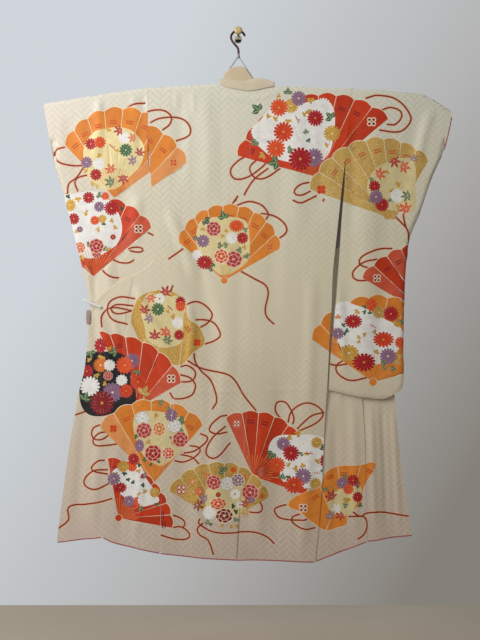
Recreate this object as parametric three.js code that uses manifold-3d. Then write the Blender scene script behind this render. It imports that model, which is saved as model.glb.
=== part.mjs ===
import * as THREE from "three";
import { mergeVertices } from "three/addons/utils/BufferGeometryUtils.js";
import Module from "manifold-3d";

// A furisode, the long-sleeved silk kimono, hung on a kimono hanger from a small wall hook.
// Its back is towards the room and both fronts are opened out sideways, past the side seams.
// Millimetres. X runs to the right, Z up, and -Y points out into the room. The origin is on the
// wall, at the centre of the hook's back plate, so every Y is the distance from the wall, negated.

const CLOTH = 2; // wall of every lined panel
const SEAM = 0.3; // gap between two pieces that are sewn together
const BAR_Y = -31; // axis of the hanger's bar
const BAR_RADIUS = 7;
const FOLD_RADIUS = 9.3; // cloth's middle, bent over the bar with a little ease
const PIPING = 5; // red hem roll of the lining
const CUFF_PIPING = 4;
const CUFF_LENGTH = 130; // open part of the sleeve's outer edge
const CUFF_START = 12; // shoulder fold left closed above it
const MOUTH_REACH = 24; // of the cut that opens the cuff, through the sleeve's outer edge
const MOUTH_GAPE = 11; // how far apart it leaves the two layers
const MOUTH_TURN = 0.2; // radians, the lean of the outer edge

const SILK = { color: 0xddd5c2, roughness: 0.45, metalness: 0 };
const LINING_RED = { color: 0xa33a2c, roughness: 0.6, metalness: 0 };
const TIE_WHITE = { color: 0xe6e9ee, roughness: 0.6, metalness: 0 };
const HANGER_GREY = { color: 0x8d8f94, roughness: 0.5, metalness: 0.1 };
const HOOK_MAROON = { color: 0x4a1820, roughness: 0.35, metalness: 0.3 };
const KNOB_CREAM = { color: 0xd8c69c, roughness: 0.35, metalness: 0.1 };
const DARK_STEEL = { color: 0x3c3936, roughness: 0.4, metalness: 0.9 };

// ---- the cut, as it hangs ----

// The body: armhole and side edge on the left, centre back seam, armhole and side edge on the right.
const BODY = [
  { z: -172, left: -297, centre: 40, right: 376 },
  { z: -190, left: -297, centre: 40, right: 376 },
  { z: -350, left: -297, centre: 40, right: 359.5 },
  { z: -412, left: -292, centre: 40, right: 354 },
  { z: -511, left: -284, centre: 40, right: 342 },
  { z: -594, left: -271, centre: 40, right: 333 },
  { z: -670, left: -254, centre: 40, right: 325 },
  { z: -713, left: -236, centre: 40, right: 320 },
  { z: -791, left: -222, centre: 39, right: 312 },
  { z: -855, left: -204, centre: 39, right: 310 },
  { z: -890, left: -178, centre: 38, right: 309 },
  { z: -973, left: -181, centre: 36, right: 304 },
  { z: -1049, left: -185, centre: 34, right: 300 },
  { z: -1145, left: -201, centre: 32, right: 295 },
  { z: -1204, left: -208, centre: 30, right: 290 },
  { z: -1336, left: -231, centre: 22, right: 283 },
  { z: -1485, left: -251, centre: 11, right: 277 },
  { z: -1643, left: -257, centre: -2, right: 264 },
  { z: -1736, left: -257, centre: -7, right: 254 },
];

// The top line of the cloth, over the shoulders, and the seam of the collar between them.
const SHOULDER = [
  { x: -643, z: -224 },
  { x: -422, z: -188 },
  { x: -297, z: -172 },
  { x: -63, z: -159 },
  { x: -40, z: -168 },
  { x: -7, z: -175 },
  { x: 30, z: -182 },
  { x: 66, z: -177 },
  { x: 99, z: -170 },
  { x: 122, z: -167 },
  { x: 376, z: -175 },
  { x: 469, z: -180 },
  { x: 558, z: -186 },
  { x: 620, z: -195 },
  { x: 640, z: -202 },
  { x: 672, z: -228 },
  { x: 707, z: -252 },
];

// The hem line, from the left front edge to the right front edge.
const HEM = [
  { x: -599, z: -1672 },
  { x: -449, z: -1655 },
  { x: -406, z: -1676 },
  { x: -343, z: -1690 },
  { x: -257, z: -1708 },
  { x: -125, z: -1723 },
  { x: -5, z: -1729 },
  { x: 106, z: -1732 },
  { x: 254, z: -1736 },
  { x: 277, z: -1726 },
  { x: 364, z: -1694 },
  { x: 427, z: -1669 },
  { x: 495, z: -1659 },
  { x: 577, z: -1649 },
];

// The left front: hidden behind the back down to the armhole's foot, then swung out to the left,
// where its left edge is first the diagonal below the sleeve and then the seam of the overlap.
const FRONT_LEFT = [
  { z: -172, left: -296.7, right: -108, depth: -21.7 },
  { z: -200, left: -296.7, right: -118, depth: -21 },
  { z: -300, left: -296.4, right: -160, depth: -18 },
  { z: -412, left: -290, right: -192, depth: -17 },
  { z: -480, left: -272, right: -198, depth: -19 },
  { z: -560, left: -252, right: -198, depth: -25 },
  { z: -650, left: -240, right: -192, depth: -30 },
  { z: -672, left: -252, right: -190, depth: -30 },
  { z: -716, left: -274, right: -186, depth: -30 },
  { z: -762, left: -287, right: -180, depth: -30 },
  { z: -785, left: -317, right: -176, depth: -30 },
  { z: -799, left: -347, right: -170, depth: -30 },
  { z: -875, left: -363, right: -142, depth: -30 },
  { z: -973, left: -376, right: -146, depth: -30 },
  { z: -1049, left: -386, right: -160, depth: -30.5 },
  { z: -1100, left: -392, right: -182, depth: -31.5 },
  { z: -1145, left: -396, right: -201.9, depth: -33 },
  { z: -1204, left: -401, right: -208.9, depth: -34 },
  { z: -1336, left: -408, right: -231.9, depth: -35 },
  { z: -1485, left: -422, right: -251.9, depth: -36 },
  { z: -1643, left: -447, right: -257.9, depth: -36 },
  { z: -1712, left: -449, right: -257.9, depth: -36 },
];

// The left overlap, from the tied corner down to the hem; its top edge is the rest of the diagonal.
const OKUMI_LEFT = [
  { z: -799, edge: -352, depth: -30 },
  { z: -884, edge: -475, depth: -30 },
  { z: -925, edge: -493, depth: -29.5 },
  { z: -982, edge: -497, depth: -29 },
  { z: -1062, edge: -503, depth: -29 },
  { z: -1126, edge: -512, depth: -29.5 },
  { z: -1179, edge: -528, depth: -30 },
  { z: -1251, edge: -539, depth: -31 },
  { z: -1356, edge: -558, depth: -32 },
  { z: -1508, edge: -578, depth: -33.5 },
  { z: -1626, edge: -593, depth: -34.5 },
  { z: -1675, edge: -599, depth: -35 },
];
const OKUMI_LEFT_TOP = [
  { x: -475, z: -884 },
  { x: -416, z: -835 },
  { x: -393, z: -815 },
  { x: -347, z: -799 },
];

// The right front, behind the back and the sleeve, and out beside the back below the sleeve.
const FRONT_RIGHT = [
  { z: -172, left: 178, right: 375.7, depth: -21.7 },
  { z: -190, left: 182, right: 375.7, depth: -21.6 },
  { z: -220, left: 190, right: 372, depth: -21 },
  { z: -300, left: 212, right: 363.8, depth: -19 },
  { z: -380, left: 232, right: 356.4, depth: -16 },
  { z: -412, left: 240, right: 356, depth: -13.5 },
  { z: -560, left: 268, right: 354, depth: -12 },
  { z: -660, left: 280, right: 348, depth: -12 },
  { z: -700, left: 284, right: 352, depth: -12 },
  { z: -760, left: 284, right: 392, depth: -12 },
  { z: -800, left: 284, right: 412, depth: -12 },
  { z: -973, left: 286, right: 398, depth: -15 },
  { z: -1080, left: 284, right: 402, depth: -19.5 },
  { z: -1145, left: 286, right: 407, depth: -24 },
  { z: -1204, left: 290.9, right: 411, depth: -28.5 },
  { z: -1336, left: 283.9, right: 419, depth: -34.5 },
  { z: -1485, left: 277.9, right: 422, depth: -35 },
  { z: -1643, left: 264.9, right: 426, depth: -36 },
  { z: -1730, left: 254.9, right: 427, depth: -36 },
];
const OKUMI_RIGHT = [
  { z: -800, edge: 420, depth: -12 },
  { z: -884, edge: 486, depth: -12 },
  { z: -973, edge: 500, depth: -14 },
  { z: -1080, edge: 508, depth: -17 },
  { z: -1145, edge: 515, depth: -20 },
  { z: -1204, edge: 521, depth: -24 },
  { z: -1336, edge: 531, depth: -30 },
  { z: -1485, edge: 549, depth: -31 },
  { z: -1543, edge: 561, depth: -32 },
  { z: -1680, edge: 579, depth: -33 },
];
const OKUMI_RIGHT_TOP = [
  { x: 412, z: -800 },
  { x: 486, z: -884 },
];

// The sleeves: edge on the side of the body, outer edge, and how far the two layers stand off.
const SLEEVE_LEFT = [
  { z: -172, left: -643, right: -297.6, near: -40.3, far: -21.7 },
  { z: -224, left: -643, right: -297.6, near: -40, far: -21 },
  { z: -350, left: -621, right: -297.6, near: -39, far: -17 },
  { z: -412, left: -609, right: -297.6, near: -38, far: -15.5 },
  { z: -450, left: -602, right: -290, near: -32, far: -14.5 },
  { z: -548, left: -572, right: -266, near: -27, far: -12.5 },
  { z: -624, left: -554, right: -254, near: -24.5, far: -11.5 },
  { z: -670, left: -542, right: -250, near: -23.5, far: -11 },
  { z: -747, left: -523, right: -246, near: -22, far: -10 },
  { z: -872, left: -495, right: -244, near: -20, far: -9 },
  { z: -1053, left: -480, right: -246, near: -18, far: -8 },
  { z: -1190, left: -466, right: -252, near: -16.5, far: -7.5 },
];
const SLEEVE_RIGHT = [
  { z: -172, left: 376.6, right: 707, near: -40.3, far: -21.7 },
  { z: -190, left: 376.6, right: 707, near: -40.3, far: -21.7 },
  { z: -252, left: 370.2, right: 707, near: -40, far: -21.5 },
  { z: -322, left: 363, right: 693, near: -39.5, far: -21.2 },
  { z: -381, left: 357.4, right: 678, near: -39, far: -21 },
  { z: -412, left: 354.6, right: 668, near: -38.5, far: -21 },
  { z: -469, left: 353, right: 642, near: -38, far: -21.5 },
  { z: -511, left: 351, right: 627, near: -37.5, far: -22 },
  { z: -574, left: 345, right: 607, near: -37.5, far: -22 },
  { z: -647, left: 340, right: 573, near: -37, far: -22 },
  { z: -723, left: 336, right: 559, near: -37, far: -22 },
  { z: -863, left: 325, right: 550, near: -37, far: -24 },
  { z: -1086, left: 303, right: 546, near: -38.5, far: -28 },
  { z: -1145, left: 301, right: 548, near: -39.5, far: -30 },
  { z: -1170, left: 300, right: 540, near: -40, far: -31 },
  { z: -1202, left: 300, right: 515, near: -40, far: -31 },
];
const SLEEVE_LEFT_BOTTOM = [
  { x: -466, z: -1180 },
  { x: -440, z: -1190 },
  { x: -252, z: -1186 },
];
const SLEEVE_RIGHT_BOTTOM = [
  { x: 300, z: -1172 },
  { x: 397, z: -1194 },
  { x: 469, z: -1202 },
  { x: 515, z: -1196 },
  { x: 540, z: -1170 },
];

// Soft folds: a line from its head to its foot, the half width, and how far it stands off
// (above 0 towards the room, below 0 towards the wall).
const BACK_FOLDS = [
  { x: -190, z: -560, toX: -95, toZ: -1010, width: 60, stand: -5 },
  { x: -235, z: -640, toX: -150, toZ: -1060, width: 34, stand: 4 },
  { x: -20, z: -860, toX: -70, toZ: -1700, width: 70, stand: 3 },
  { x: 150, z: -900, toX: 120, toZ: -1720, width: 75, stand: -4 },
  { x: 250, z: -980, toX: 215, toZ: -1730, width: 45, stand: 3 },
  { x: -200, z: -1250, toX: -190, toZ: -1700, width: 50, stand: -3 },
];
const FRONT_LEFT_FOLDS = [
  { x: -300, z: -800, toX: -235, toZ: -1100, width: 40, stand: 3 },
  { x: -345, z: -1290, toX: -372, toZ: -1700, width: 46, stand: -4 },
  { x: -300, z: -1500, toX: -305, toZ: -1730, width: 40, stand: 3 },
];
const OKUMI_LEFT_FOLDS = [
  { x: -440, z: -900, toX: -450, toZ: -1250, width: 36, stand: 4 },
  { x: -480, z: -1180, toX: -520, toZ: -1690, width: 44, stand: -4 },
];
const FRONT_RIGHT_FOLDS = [
  { x: 345, z: -1150, toX: 345, toZ: -1740, width: 38, stand: -5 },
];
const OKUMI_RIGHT_FOLDS = [
  { x: 450, z: -1120, toX: 456, toZ: -1700, width: 30, stand: 5 },
  { x: 505, z: -1150, toX: 520, toZ: -1700, width: 30, stand: -5 },
];
const SLEEVE_RIGHT_FOLDS = [
  { x: 430, z: -300, toX: 400, toZ: -1230, width: 70, stand: 3 },
];
// The pleat that crosses the left front: what is right of this line lies over what is left of it.
const PLEAT = [
  { z: -1190, x: -392 },
  { z: -1280, x: -376 },
  { z: -1340, x: -362 },
  { z: -1383, x: -330 },
  { z: -1439, x: -302 },
  { z: -1495, x: -264 },
];
const PLEAT_STEP = 4;
const PLEAT_WIDTH = 24;

// The collar's own stretches: upper and lower edge, and the depth at which each lies.
const COLLAR_BAND = [
  { x: -63, top: -149, foot: -157 },
  { x: -40, top: -148, foot: -168 },
  { x: -7, top: -151, foot: -175 },
  { x: 30, top: -152, foot: -182 },
  { x: 50, top: -145, foot: -180 },
  { x: 73, top: -142, foot: -176 },
  { x: 99, top: -149, foot: -169 },
  { x: 122, top: -158, foot: -165 },
];
const COLLAR_LEFT = [
  { x: -108, z: -190, toX: -62, toZ: -190, depth: -20.3 },
  { x: -150, z: -330, toX: -98, toZ: -318, depth: -20 },
  { x: -186, z: -450, toX: -138, toZ: -430, depth: -20.5 },
  { x: -192, z: -560, toX: -150, toZ: -545, depth: -22 },
  { x: -205, z: -655, toX: -168, toZ: -650, depth: -25 },
  { x: -246, z: -668, toX: -206, toZ: -712, depth: -26.3 },
  { x: -268, z: -706, toX: -232, toZ: -742, depth: -26.3 },
  { x: -287, z: -753, toX: -262, toZ: -795, depth: -26.3 },
  { x: -318, z: -776, toX: -306, toZ: -822, depth: -26.3 },
  { x: -392, z: -806, toX: -376, toZ: -852, depth: -26.3 },
  { x: -418, z: -826, toX: -396, toZ: -866, depth: -26.3 },
  { x: -476, z: -874, toX: -452, toZ: -900, depth: -26.3 },
];
const COLLAR_RIGHT = [
  { x: 124, z: -196, toX: 172, toZ: -196, depth: -20.3 },
  { x: 160, z: -330, toX: 208, toZ: -330, depth: -18 },
  { x: 190, z: -450, toX: 236, toZ: -450, depth: -13.5 },
  { x: 215, z: -560, toX: 258, toZ: -560, depth: -9 },
  { x: 252, z: -680, toX: 296, toZ: -655, depth: -8 },
  { x: 300, z: -748, toX: 340, toZ: -690, depth: -8 },
  { x: 372, z: -800, toX: 402, toZ: -752, depth: -8 },
  { x: 456, z: -884, toX: 486, toZ: -850, depth: -8 },
];

// The under collar that stands up at the nape.
const NAPE = [
  { x: -50, top: -138 },
  { x: -43, top: -123 },
  { x: -30, top: -110 },
  { x: -16, top: -104 },
  { x: 7, top: -101 },
  { x: 23, top: -104 },
  { x: 33, top: -119 },
  { x: 43, top: -135 },
  { x: 52, top: -143 },
];
const NAPE_FOOT = -160;

// Steps down a panel, as shares of its height: close together over the shoulder fold.
const SLEEVE_STEPS = [0, 0.003, 0.009, 0.03, 0.08, 0.14, 0.19, 0.235, 0.27, 0.33, 0.4, 0.48, 0.57, 0.67]
  .concat([0.78, 0.88, 0.95, 0.985, 1]);

// ---- reading the tables ----

const mix = THREE.MathUtils.lerp;

// A column of a table as a function: straight between the rows, level past its ends.
function column(rows, key, name) {
  const sorted = [...rows].sort((a, b) => a[key] - b[key]);
  return (value) => {
    if (value <= sorted[0][key]) return sorted[0][name];
    const above = sorted.findIndex((row) => row[key] >= value);
    if (above < 0) return sorted.at(-1)[name];
    const [a, b] = [sorted[above - 1], sorted[above]];
    return mix(a[name], b[name], (value - a[key]) / (b[key] - a[key]));
  };
}

// How far a set of soft folds brings the point (x, z) out into the room.
function foldStand(folds, x, z) {
  return folds.reduce((sum, fold) => {
    const length = Math.hypot(fold.toX - fold.x, fold.toZ - fold.z);
    const [ax, az] = [(fold.toX - fold.x) / length, (fold.toZ - fold.z) / length];
    const run = (x - fold.x) * ax + (z - fold.z) * az;
    const off = Math.abs((x - fold.x) * az - (z - fold.z) * ax) / fold.width;
    if (off >= 1 || run <= 0) return sum;
    const fade = THREE.MathUtils.smoothstep(run, 0, length * 0.35);
    return sum + fold.stand * fade * (0.5 + 0.5 * Math.cos(Math.PI * off));
  }, 0);
}

// A point of a panel between two lines and two edges: share t down it and share u across it.
function place(shape, t, u) {
  let z = mix(shape.top(shape.middle), shape.foot(shape.middle), t);
  let x = 0;
  for (let pass = 0; pass < 6; pass += 1) {
    x = mix(shape.left(z), shape.right(z), u);
    z = mix(shape.top(x), shape.foot(x), t);
  }
  return { x, z };
}

// ---- making closed walls ----

// Two grids of points, the one towards the room and the one towards the wall, closed at the rims.
function closedGrid(near, far) {
  const points = [];
  const rows = near.length - 1;
  const columns = near[0].length - 1;
  const face = (a, b, c, d) => points.push(...a, ...b, ...c, ...a, ...c, ...d);
  for (let i = 0; i < rows; i += 1)
    for (let j = 0; j < columns; j += 1) {
      face(near[i][j], near[i + 1][j], near[i + 1][j + 1], near[i][j + 1]);
      face(far[i][j], far[i][j + 1], far[i + 1][j + 1], far[i + 1][j]);
    }
  for (let i = 0; i < rows; i += 1) {
    face(near[i][0], far[i][0], far[i + 1][0], near[i + 1][0]);
    face(near[i + 1][columns], far[i + 1][columns], far[i][columns], near[i][columns]);
  }
  for (let j = 0; j < columns; j += 1) {
    face(near[0][j + 1], far[0][j + 1], far[0][j], near[0][j]);
    face(near[rows][j], far[rows][j], far[rows][j + 1], near[rows][j + 1]);
  }
  const geometry = new THREE.BufferGeometry();
  geometry.setAttribute("position", new THREE.Float32BufferAttribute(points, 3));
  return geometry;
}

// A sheet of cloth as a wall: its middle surface moved out half a wall each way.
function sheet(middle, wall = CLOTH) {
  const at = (i, j) => {
    const row = middle[THREE.MathUtils.clamp(i, 0, middle.length - 1)];
    return new THREE.Vector3(...row[THREE.MathUtils.clamp(j, 0, row.length - 1)]);
  };
  const moved = (i, j, side) => {
    const down = at(i + 1, j).sub(at(i - 1, j));
    const across = at(i, j + 1).sub(at(i, j - 1));
    const normal = down.cross(across).normalize();
    return at(i, j).addScaledVector(normal, (side * wall) / 2).toArray();
  };
  const grid = (side) => middle.map((row, i) => row.map((_, j) => moved(i, j, side)));
  return closedGrid(grid(1), grid(-1));
}

const shares = (count) => Array.from({ length: count + 1 }, (_, i) => i / count);

const wasm = await Module();
wasm.setup();

function solidOf(geometry) {
  const merged = mergeVertices(geometry, 1e-4);
  return new wasm.Manifold(
    new wasm.Mesh({
      numProp: 3,
      vertProperties: merged.attributes.position.array,
      triVerts: new Uint32Array(merged.index.array),
    }),
  );
}

function geometryOf(solid) {
  const made = solid.getMesh();
  const geometry = new THREE.BufferGeometry();
  geometry.setAttribute("position", new THREE.BufferAttribute(made.vertProperties, 3));
  geometry.setIndex(new THREE.BufferAttribute(made.triVerts, 1));
  return geometry;
}

// A round or flattened rod swept along a smooth line.
function rod(line, radius, steps, sides = 8) {
  const section = new THREE.Shape();
  section.absarc(0, 0, radius, 0, Math.PI * 2);
  const path = new THREE.CatmullRomCurve3(line.map((point) => new THREE.Vector3(...point)));
  return new THREE.ExtrudeGeometry(section, { extrudePath: path, steps, curveSegments: sides });
}

const furisode = new THREE.Group();

function add(name, geometry, finish, parent = furisode) {
  const mesh = new THREE.Mesh(geometry, new THREE.MeshStandardMaterial(finish));
  mesh.name = name;
  parent.add(mesh);
  return mesh;
}

// ---- depths ----

const shoulderLine = column(SHOULDER, "x", "z");
const hemLine = column(HEM, "x", "z");

// Half the thickness of the fold over the bar, a given drop below the shoulder line.
function shoulderHalf(drop) {
  const reach = Math.min(drop, FOLD_RADIUS);
  return Math.sqrt(FOLD_RADIUS ** 2 - (FOLD_RADIUS - reach) ** 2);
}

const BACK_DEPTH = [
  { z: -180, depth: -40.3 },
  { z: -420, depth: -39 },
  { z: -700, depth: -38.5 },
  { z: -1740, depth: -38 },
];
const backDepth = column(BACK_DEPTH, "z", "depth");

// ---- the shoulder folds: the cloth bent over the bar, down both sides of it ----

const TURN_DROP = 12; // how far the fold comes down on each side of the bar
const FOLD_DROP = 2.7; // of the bend's quarter points, below the shoulder line
const FOLD_HALF = 6.6; // and their distance from the bar's axis
const NECK_LEFT = -63;
const NECK_RIGHT = 122;
const FOLD_SECTION = [
  { drop: TURN_DROP, y: BAR_Y + FOLD_RADIUS },
  { drop: FOLD_DROP, y: BAR_Y + FOLD_HALF },
  { drop: 0, y: BAR_Y },
  { drop: FOLD_DROP, y: BAR_Y - FOLD_HALF },
  { drop: TURN_DROP, y: BAR_Y - FOLD_RADIUS },
];

function shoulderFold(from, to) {
  const rows = FOLD_SECTION.map(({ drop, y }) =>
    shares(6).map((u) => {
      const x = mix(from, to, u);
      return [x, y, shoulderLine(x) - drop];
    }),
  );
  return sheet(rows);
}

add("shoulder_left", shoulderFold(BODY[0].left, NECK_LEFT), SILK);
add("shoulder_right", shoulderFold(NECK_RIGHT, BODY[0].right), SILK);

// ---- the back widths, hanging from the shoulder folds and, between them, from the neck seam ----

const BACK_STEPS = [0, 0.012, 0.03, 0.06, 0.1, 0.14, 0.18, 0.22, 0.26, 0.31, 0.35, 0.39, 0.43, 0.46, 0.5]
  .concat([0.55, 0.59, 0.63, 0.68, 0.74, 0.8, 0.86, 0.92, 0.97, 1]);
const NECK_STEP = 8; // across which the top edge steps up from the fold to the neck seam
const inNeck = (x) => x > NECK_LEFT + NECK_STEP / 2 && x < NECK_RIGHT - NECK_STEP / 2;
const backTop = (x) => shoulderLine(x) - (inNeck(x) ? 0 : TURN_DROP + 2 * SEAM);

function backWidth(leftName, rightName, leftGap, rightGap, steps) {
  const leftEdge = column(BODY, "z", leftName);
  const rightEdge = column(BODY, "z", rightName);
  const shape = {
    left: (z) => leftEdge(z) + leftGap,
    right: (z) => rightEdge(z) - rightGap,
    top: backTop,
    foot: hemLine,
    middle: (leftEdge(BODY[0].z) + rightEdge(BODY[0].z)) / 2,
  };
  const [from, to] = [shape.left(BODY[0].z), shape.right(BODY[0].z)];
  const across = [...shares(9), ...steps.map((x) => (x - from) / (to - from))].sort((a, b) => a - b);
  const rows = BACK_STEPS.map((t) =>
    across.map((u) => {
      const { x, z } = place(shape, t, u);
      return [x, backDepth(z) - foldStand(BACK_FOLDS, x, z), z];
    }),
  );
  return sheet(rows);
}

const LEFT_STEP = [NECK_LEFT, NECK_LEFT + NECK_STEP];
const RIGHT_STEP = [NECK_RIGHT - NECK_STEP, NECK_RIGHT];
add("back_left", backWidth("left", "centre", 0, SEAM / 2, LEFT_STEP), SILK);
add("back_right", backWidth("centre", "right", SEAM / 2, 0, RIGHT_STEP), SILK);

// ---- the fronts and overlaps ----

const pleatLine = column(PLEAT, "z", "x");
function pleatStand(x, z) {
  const over = THREE.MathUtils.smoothstep(x, pleatLine(z) - PLEAT_WIDTH, pleatLine(z));
  const starts = 1 - THREE.MathUtils.smoothstep(z, -1240, -1190);
  const ends = THREE.MathUtils.smoothstep(z, -1500, -1440);
  return PLEAT_STEP * over * starts * ends;
}

const frontTop = (x) => shoulderLine(x) - TURN_DROP - SEAM;
const leftSeam = column(FRONT_LEFT, "z", "left");
const rightSeam = column(FRONT_RIGHT, "z", "right");
const OKUMI_GAP = 0.8; // a little more than the seam's, because the two grids' steps differ

const FRONTS = {
  front_left: {
    left: leftSeam,
    right: column(FRONT_LEFT, "z", "right"),
    top: frontTop,
    middle: -200,
    depth: column(FRONT_LEFT, "z", "depth"),
    folds: FRONT_LEFT_FOLDS,
    stand: pleatStand,
    down: 32,
    across: 7,
  },
  okumi_left: {
    left: column(OKUMI_LEFT, "z", "edge"),
    right: (z) => leftSeam(z) - OKUMI_GAP,
    top: column(OKUMI_LEFT_TOP, "x", "z"),
    middle: -450,
    depth: column(OKUMI_LEFT, "z", "depth"),
    folds: OKUMI_LEFT_FOLDS,
    stand: () => 0,
    down: 17,
    across: 5,
  },
  front_right: {
    left: column(FRONT_RIGHT, "z", "left"),
    right: rightSeam,
    top: frontTop,
    middle: 300,
    depth: column(FRONT_RIGHT, "z", "depth"),
    folds: FRONT_RIGHT_FOLDS,
    stand: () => 0,
    down: 32,
    across: 5,
  },
  okumi_right: {
    left: (z) => rightSeam(z) + OKUMI_GAP,
    right: column(OKUMI_RIGHT, "z", "edge"),
    top: column(OKUMI_RIGHT_TOP, "x", "z"),
    middle: 480,
    depth: column(OKUMI_RIGHT, "z", "depth"),
    folds: OKUMI_RIGHT_FOLDS,
    stand: () => 0,
    down: 17,
    across: 5,
  },
};

const frontDepth = (front, x, z) => front.depth(z) - foldStand(front.folds, x, z) - front.stand(x, z);

for (const [name, front] of Object.entries(FRONTS)) {
  const shape = { ...front, foot: hemLine };
  const rows = shares(front.down).map((t) =>
    shares(front.across).map((u) => {
      const { x, z } = place(shape, t, u);
      return [x, frontDepth(front, x, z), z];
    }),
  );
  add(name, sheet(rows), SILK);
}

// ---- the sleeves: a flat bag, open towards the body and at the cuff ----

function sleeveShape(rows, footLine) {
  return {
    left: column(rows, "z", "left"),
    right: column(rows, "z", "right"),
    top: shoulderLine,
    foot: footLine,
    middle: (rows[0].left + rows[0].right) / 2,
  };
}

// One closed body from the near layer to the far one, drawn in by `inset` on every side but the
// side of the body, where it runs on past the edge by `past`.
function sleeveBody(rows, footLine, folds, outerSide, inset, past) {
  const near = column(rows, "z", "near");
  const far = column(rows, "z", "far");
  const shape = sleeveShape(rows, footLine);
  const leftGrow = outerSide < 0 ? inset : -past;
  const rightGrow = outerSide > 0 ? -inset : past;
  const drawn = {
    left: (z) => shape.left(z) + leftGrow,
    right: (z) => shape.right(z) + rightGrow,
    top: (x) => shape.top(x) - inset,
    foot: (x) => shape.foot(x) + inset,
    middle: shape.middle,
  };
  const layer = (side) =>
    SLEEVE_STEPS.map((t) =>
      shares(7).map((u) => {
        const { x, z } = place(drawn, t, u);
        const drop = shape.top(x) - z;
        const half = Math.max(shoulderHalf(drop) + CLOTH / 2 - inset, 3 - inset);
        const outside = side < 0 ? near(z) - CLOTH / 2 + inset : far(z) + CLOTH / 2 - inset;
        const held = BAR_Y + side * half;
        const turned = drop < FOLD_RADIUS ? held : outside - foldStand(folds, x, z);
        return [x, turned, z];
      }),
    );
  return closedGrid(layer(-1), layer(1));
}

function sleeve(name, rows, footLine, folds, outerSide) {
  const whole = solidOf(sleeveBody(rows, footLine, folds, outerSide, 0, 0));
  const hollow = solidOf(sleeveBody(rows, footLine, folds, outerSide, CLOTH, 6));
  const shape = sleeveShape(rows, footLine);
  const edge = outerSide > 0 ? shape.right : shape.left;
  const shoulder = shape.top(edge(shape.top(outerSide * 700)));
  const mouth = new THREE.BoxGeometry(MOUTH_REACH, MOUTH_GAPE, CUFF_LENGTH - CUFF_START);
  const middle = shoulder - (CUFF_LENGTH + CUFF_START) / 2;
  mouth.rotateY(outerSide * MOUTH_TURN);
  mouth.translate(edge(middle), BAR_Y, middle);
  mouth.deleteAttribute("normal");
  mouth.deleteAttribute("uv");
  add(name, geometryOf(whole.subtract(hollow).subtract(solidOf(mouth))), SILK);
}

sleeve("sleeve_left", SLEEVE_LEFT, column(SLEEVE_LEFT_BOTTOM, "x", "z"), [], -1);
sleeve("sleeve_right", SLEEVE_RIGHT, column(SLEEVE_RIGHT_BOTTOM, "x", "z"), SLEEVE_RIGHT_FOLDS, 1);

// ---- hem rolls and the right cuff's edge ----

const backHemDepth = (x) => backDepth(hemLine(x)) - foldStand(BACK_FOLDS, x, hemLine(x));
const frontHemDepth = (name) => (x) => frontDepth(FRONTS[name], x, hemLine(x));
const HEMS = [
  { name: "hem_okumi_left", from: -598, to: -449.5, points: 5, depth: frontHemDepth("okumi_left") },
  { name: "hem_front_left", from: -447, to: -258.5, points: 6, depth: frontHemDepth("front_left") },
  { name: "hem_back", from: -257, to: 254, points: 12, depth: backHemDepth },
  { name: "hem_front_right", from: 255.5, to: 425.5, points: 6, depth: frontHemDepth("front_right") },
  { name: "hem_okumi_right", from: 428, to: 576, points: 6, depth: frontHemDepth("okumi_right") },
];
const HEM_SIDES = 3; // segments to a thin roll's round section

for (const hem of HEMS) {
  const line = shares(hem.points).map((u) => {
    const x = mix(hem.from, hem.to, u);
    return [x, hem.depth(x), hemLine(x) - PIPING / 2 - 2 * SEAM];
  });
  add(hem.name, rod(line, PIPING / 2, hem.points * 2, HEM_SIDES), LINING_RED);
}

const rightCuff = column(SLEEVE_RIGHT, "z", "right");
const cuffPoint = (z, y, out) => [rightCuff(z) + out, y, z];
const CUFF_OUT = CUFF_PIPING / 2 + SEAM + 0.2;
const cuffLine = [
  cuffPoint(-270, -37.5, CUFF_OUT),
  cuffPoint(-300, -38.5, CUFF_OUT),
  cuffPoint(-340, -38.5, CUFF_OUT),
  cuffPoint(-368, -37.5, CUFF_OUT),
  cuffPoint(-379, -31, CUFF_OUT),
  cuffPoint(-368, -24, CUFF_OUT),
  cuffPoint(-340, -22.5, CUFF_OUT),
  cuffPoint(-300, -22.5, CUFF_OUT),
  cuffPoint(-270, -23.5, CUFF_OUT),
];
add("cuff_right", rod(cuffLine, CUFF_PIPING / 2, 22, HEM_SIDES), LINING_RED);

// ---- the collar: band round the nape, and its two runs down the front edges ----

const BAND_WALL = 3;
const BAND_SECTION = [
  { share: 0, drop: 6, y: -43.2 },
  { share: 0.5, drop: 0, y: -43.6 },
  { share: 1, drop: 2, y: -43.4 },
  { share: 1, drop: 0, y: -40.8 },
  { share: 1, drop: 2, y: -38.2 },
  { share: 0.45, drop: 0, y: -37.9 },
];
const bandTop = column(COLLAR_BAND, "x", "top");
const bandFoot = column(COLLAR_BAND, "x", "foot");
const bandRows = BAND_SECTION.map(({ share, drop, y }) =>
  shares(12).map((u) => {
    const x = mix(NECK_LEFT, NECK_RIGHT, u);
    return [x, y, mix(bandFoot(x), bandTop(x), share) - drop];
  }),
);
add("collar_band", sheet(bandRows.reverse(), BAND_WALL), SILK);

function collarRun(rows) {
  const grid = rows.map((row) =>
    shares(3).map((u) => [mix(row.x, row.toX, u), row.depth, mix(row.z, row.toZ, u)]),
  );
  return sheet(grid, BAND_WALL);
}
add("collar_left", collarRun(COLLAR_LEFT), SILK);
add("collar_right", collarRun(COLLAR_RIGHT), SILK);

const NAPE_Y = -35.1;
const NAPE_WALL = 2;
const napeTop = column(NAPE, "x", "top");
const napeRows = shares(4).map((t) =>
  shares(12).map((u) => {
    const x = mix(-50, 52, u);
    return [x, NAPE_Y, mix(napeTop(x), NAPE_FOOT, t)];
  }),
);
add("collar_inner", sheet(napeRows, NAPE_WALL), SILK);

// ---- the tie at the left front corner, and the turned end of the collar under it ----

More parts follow.
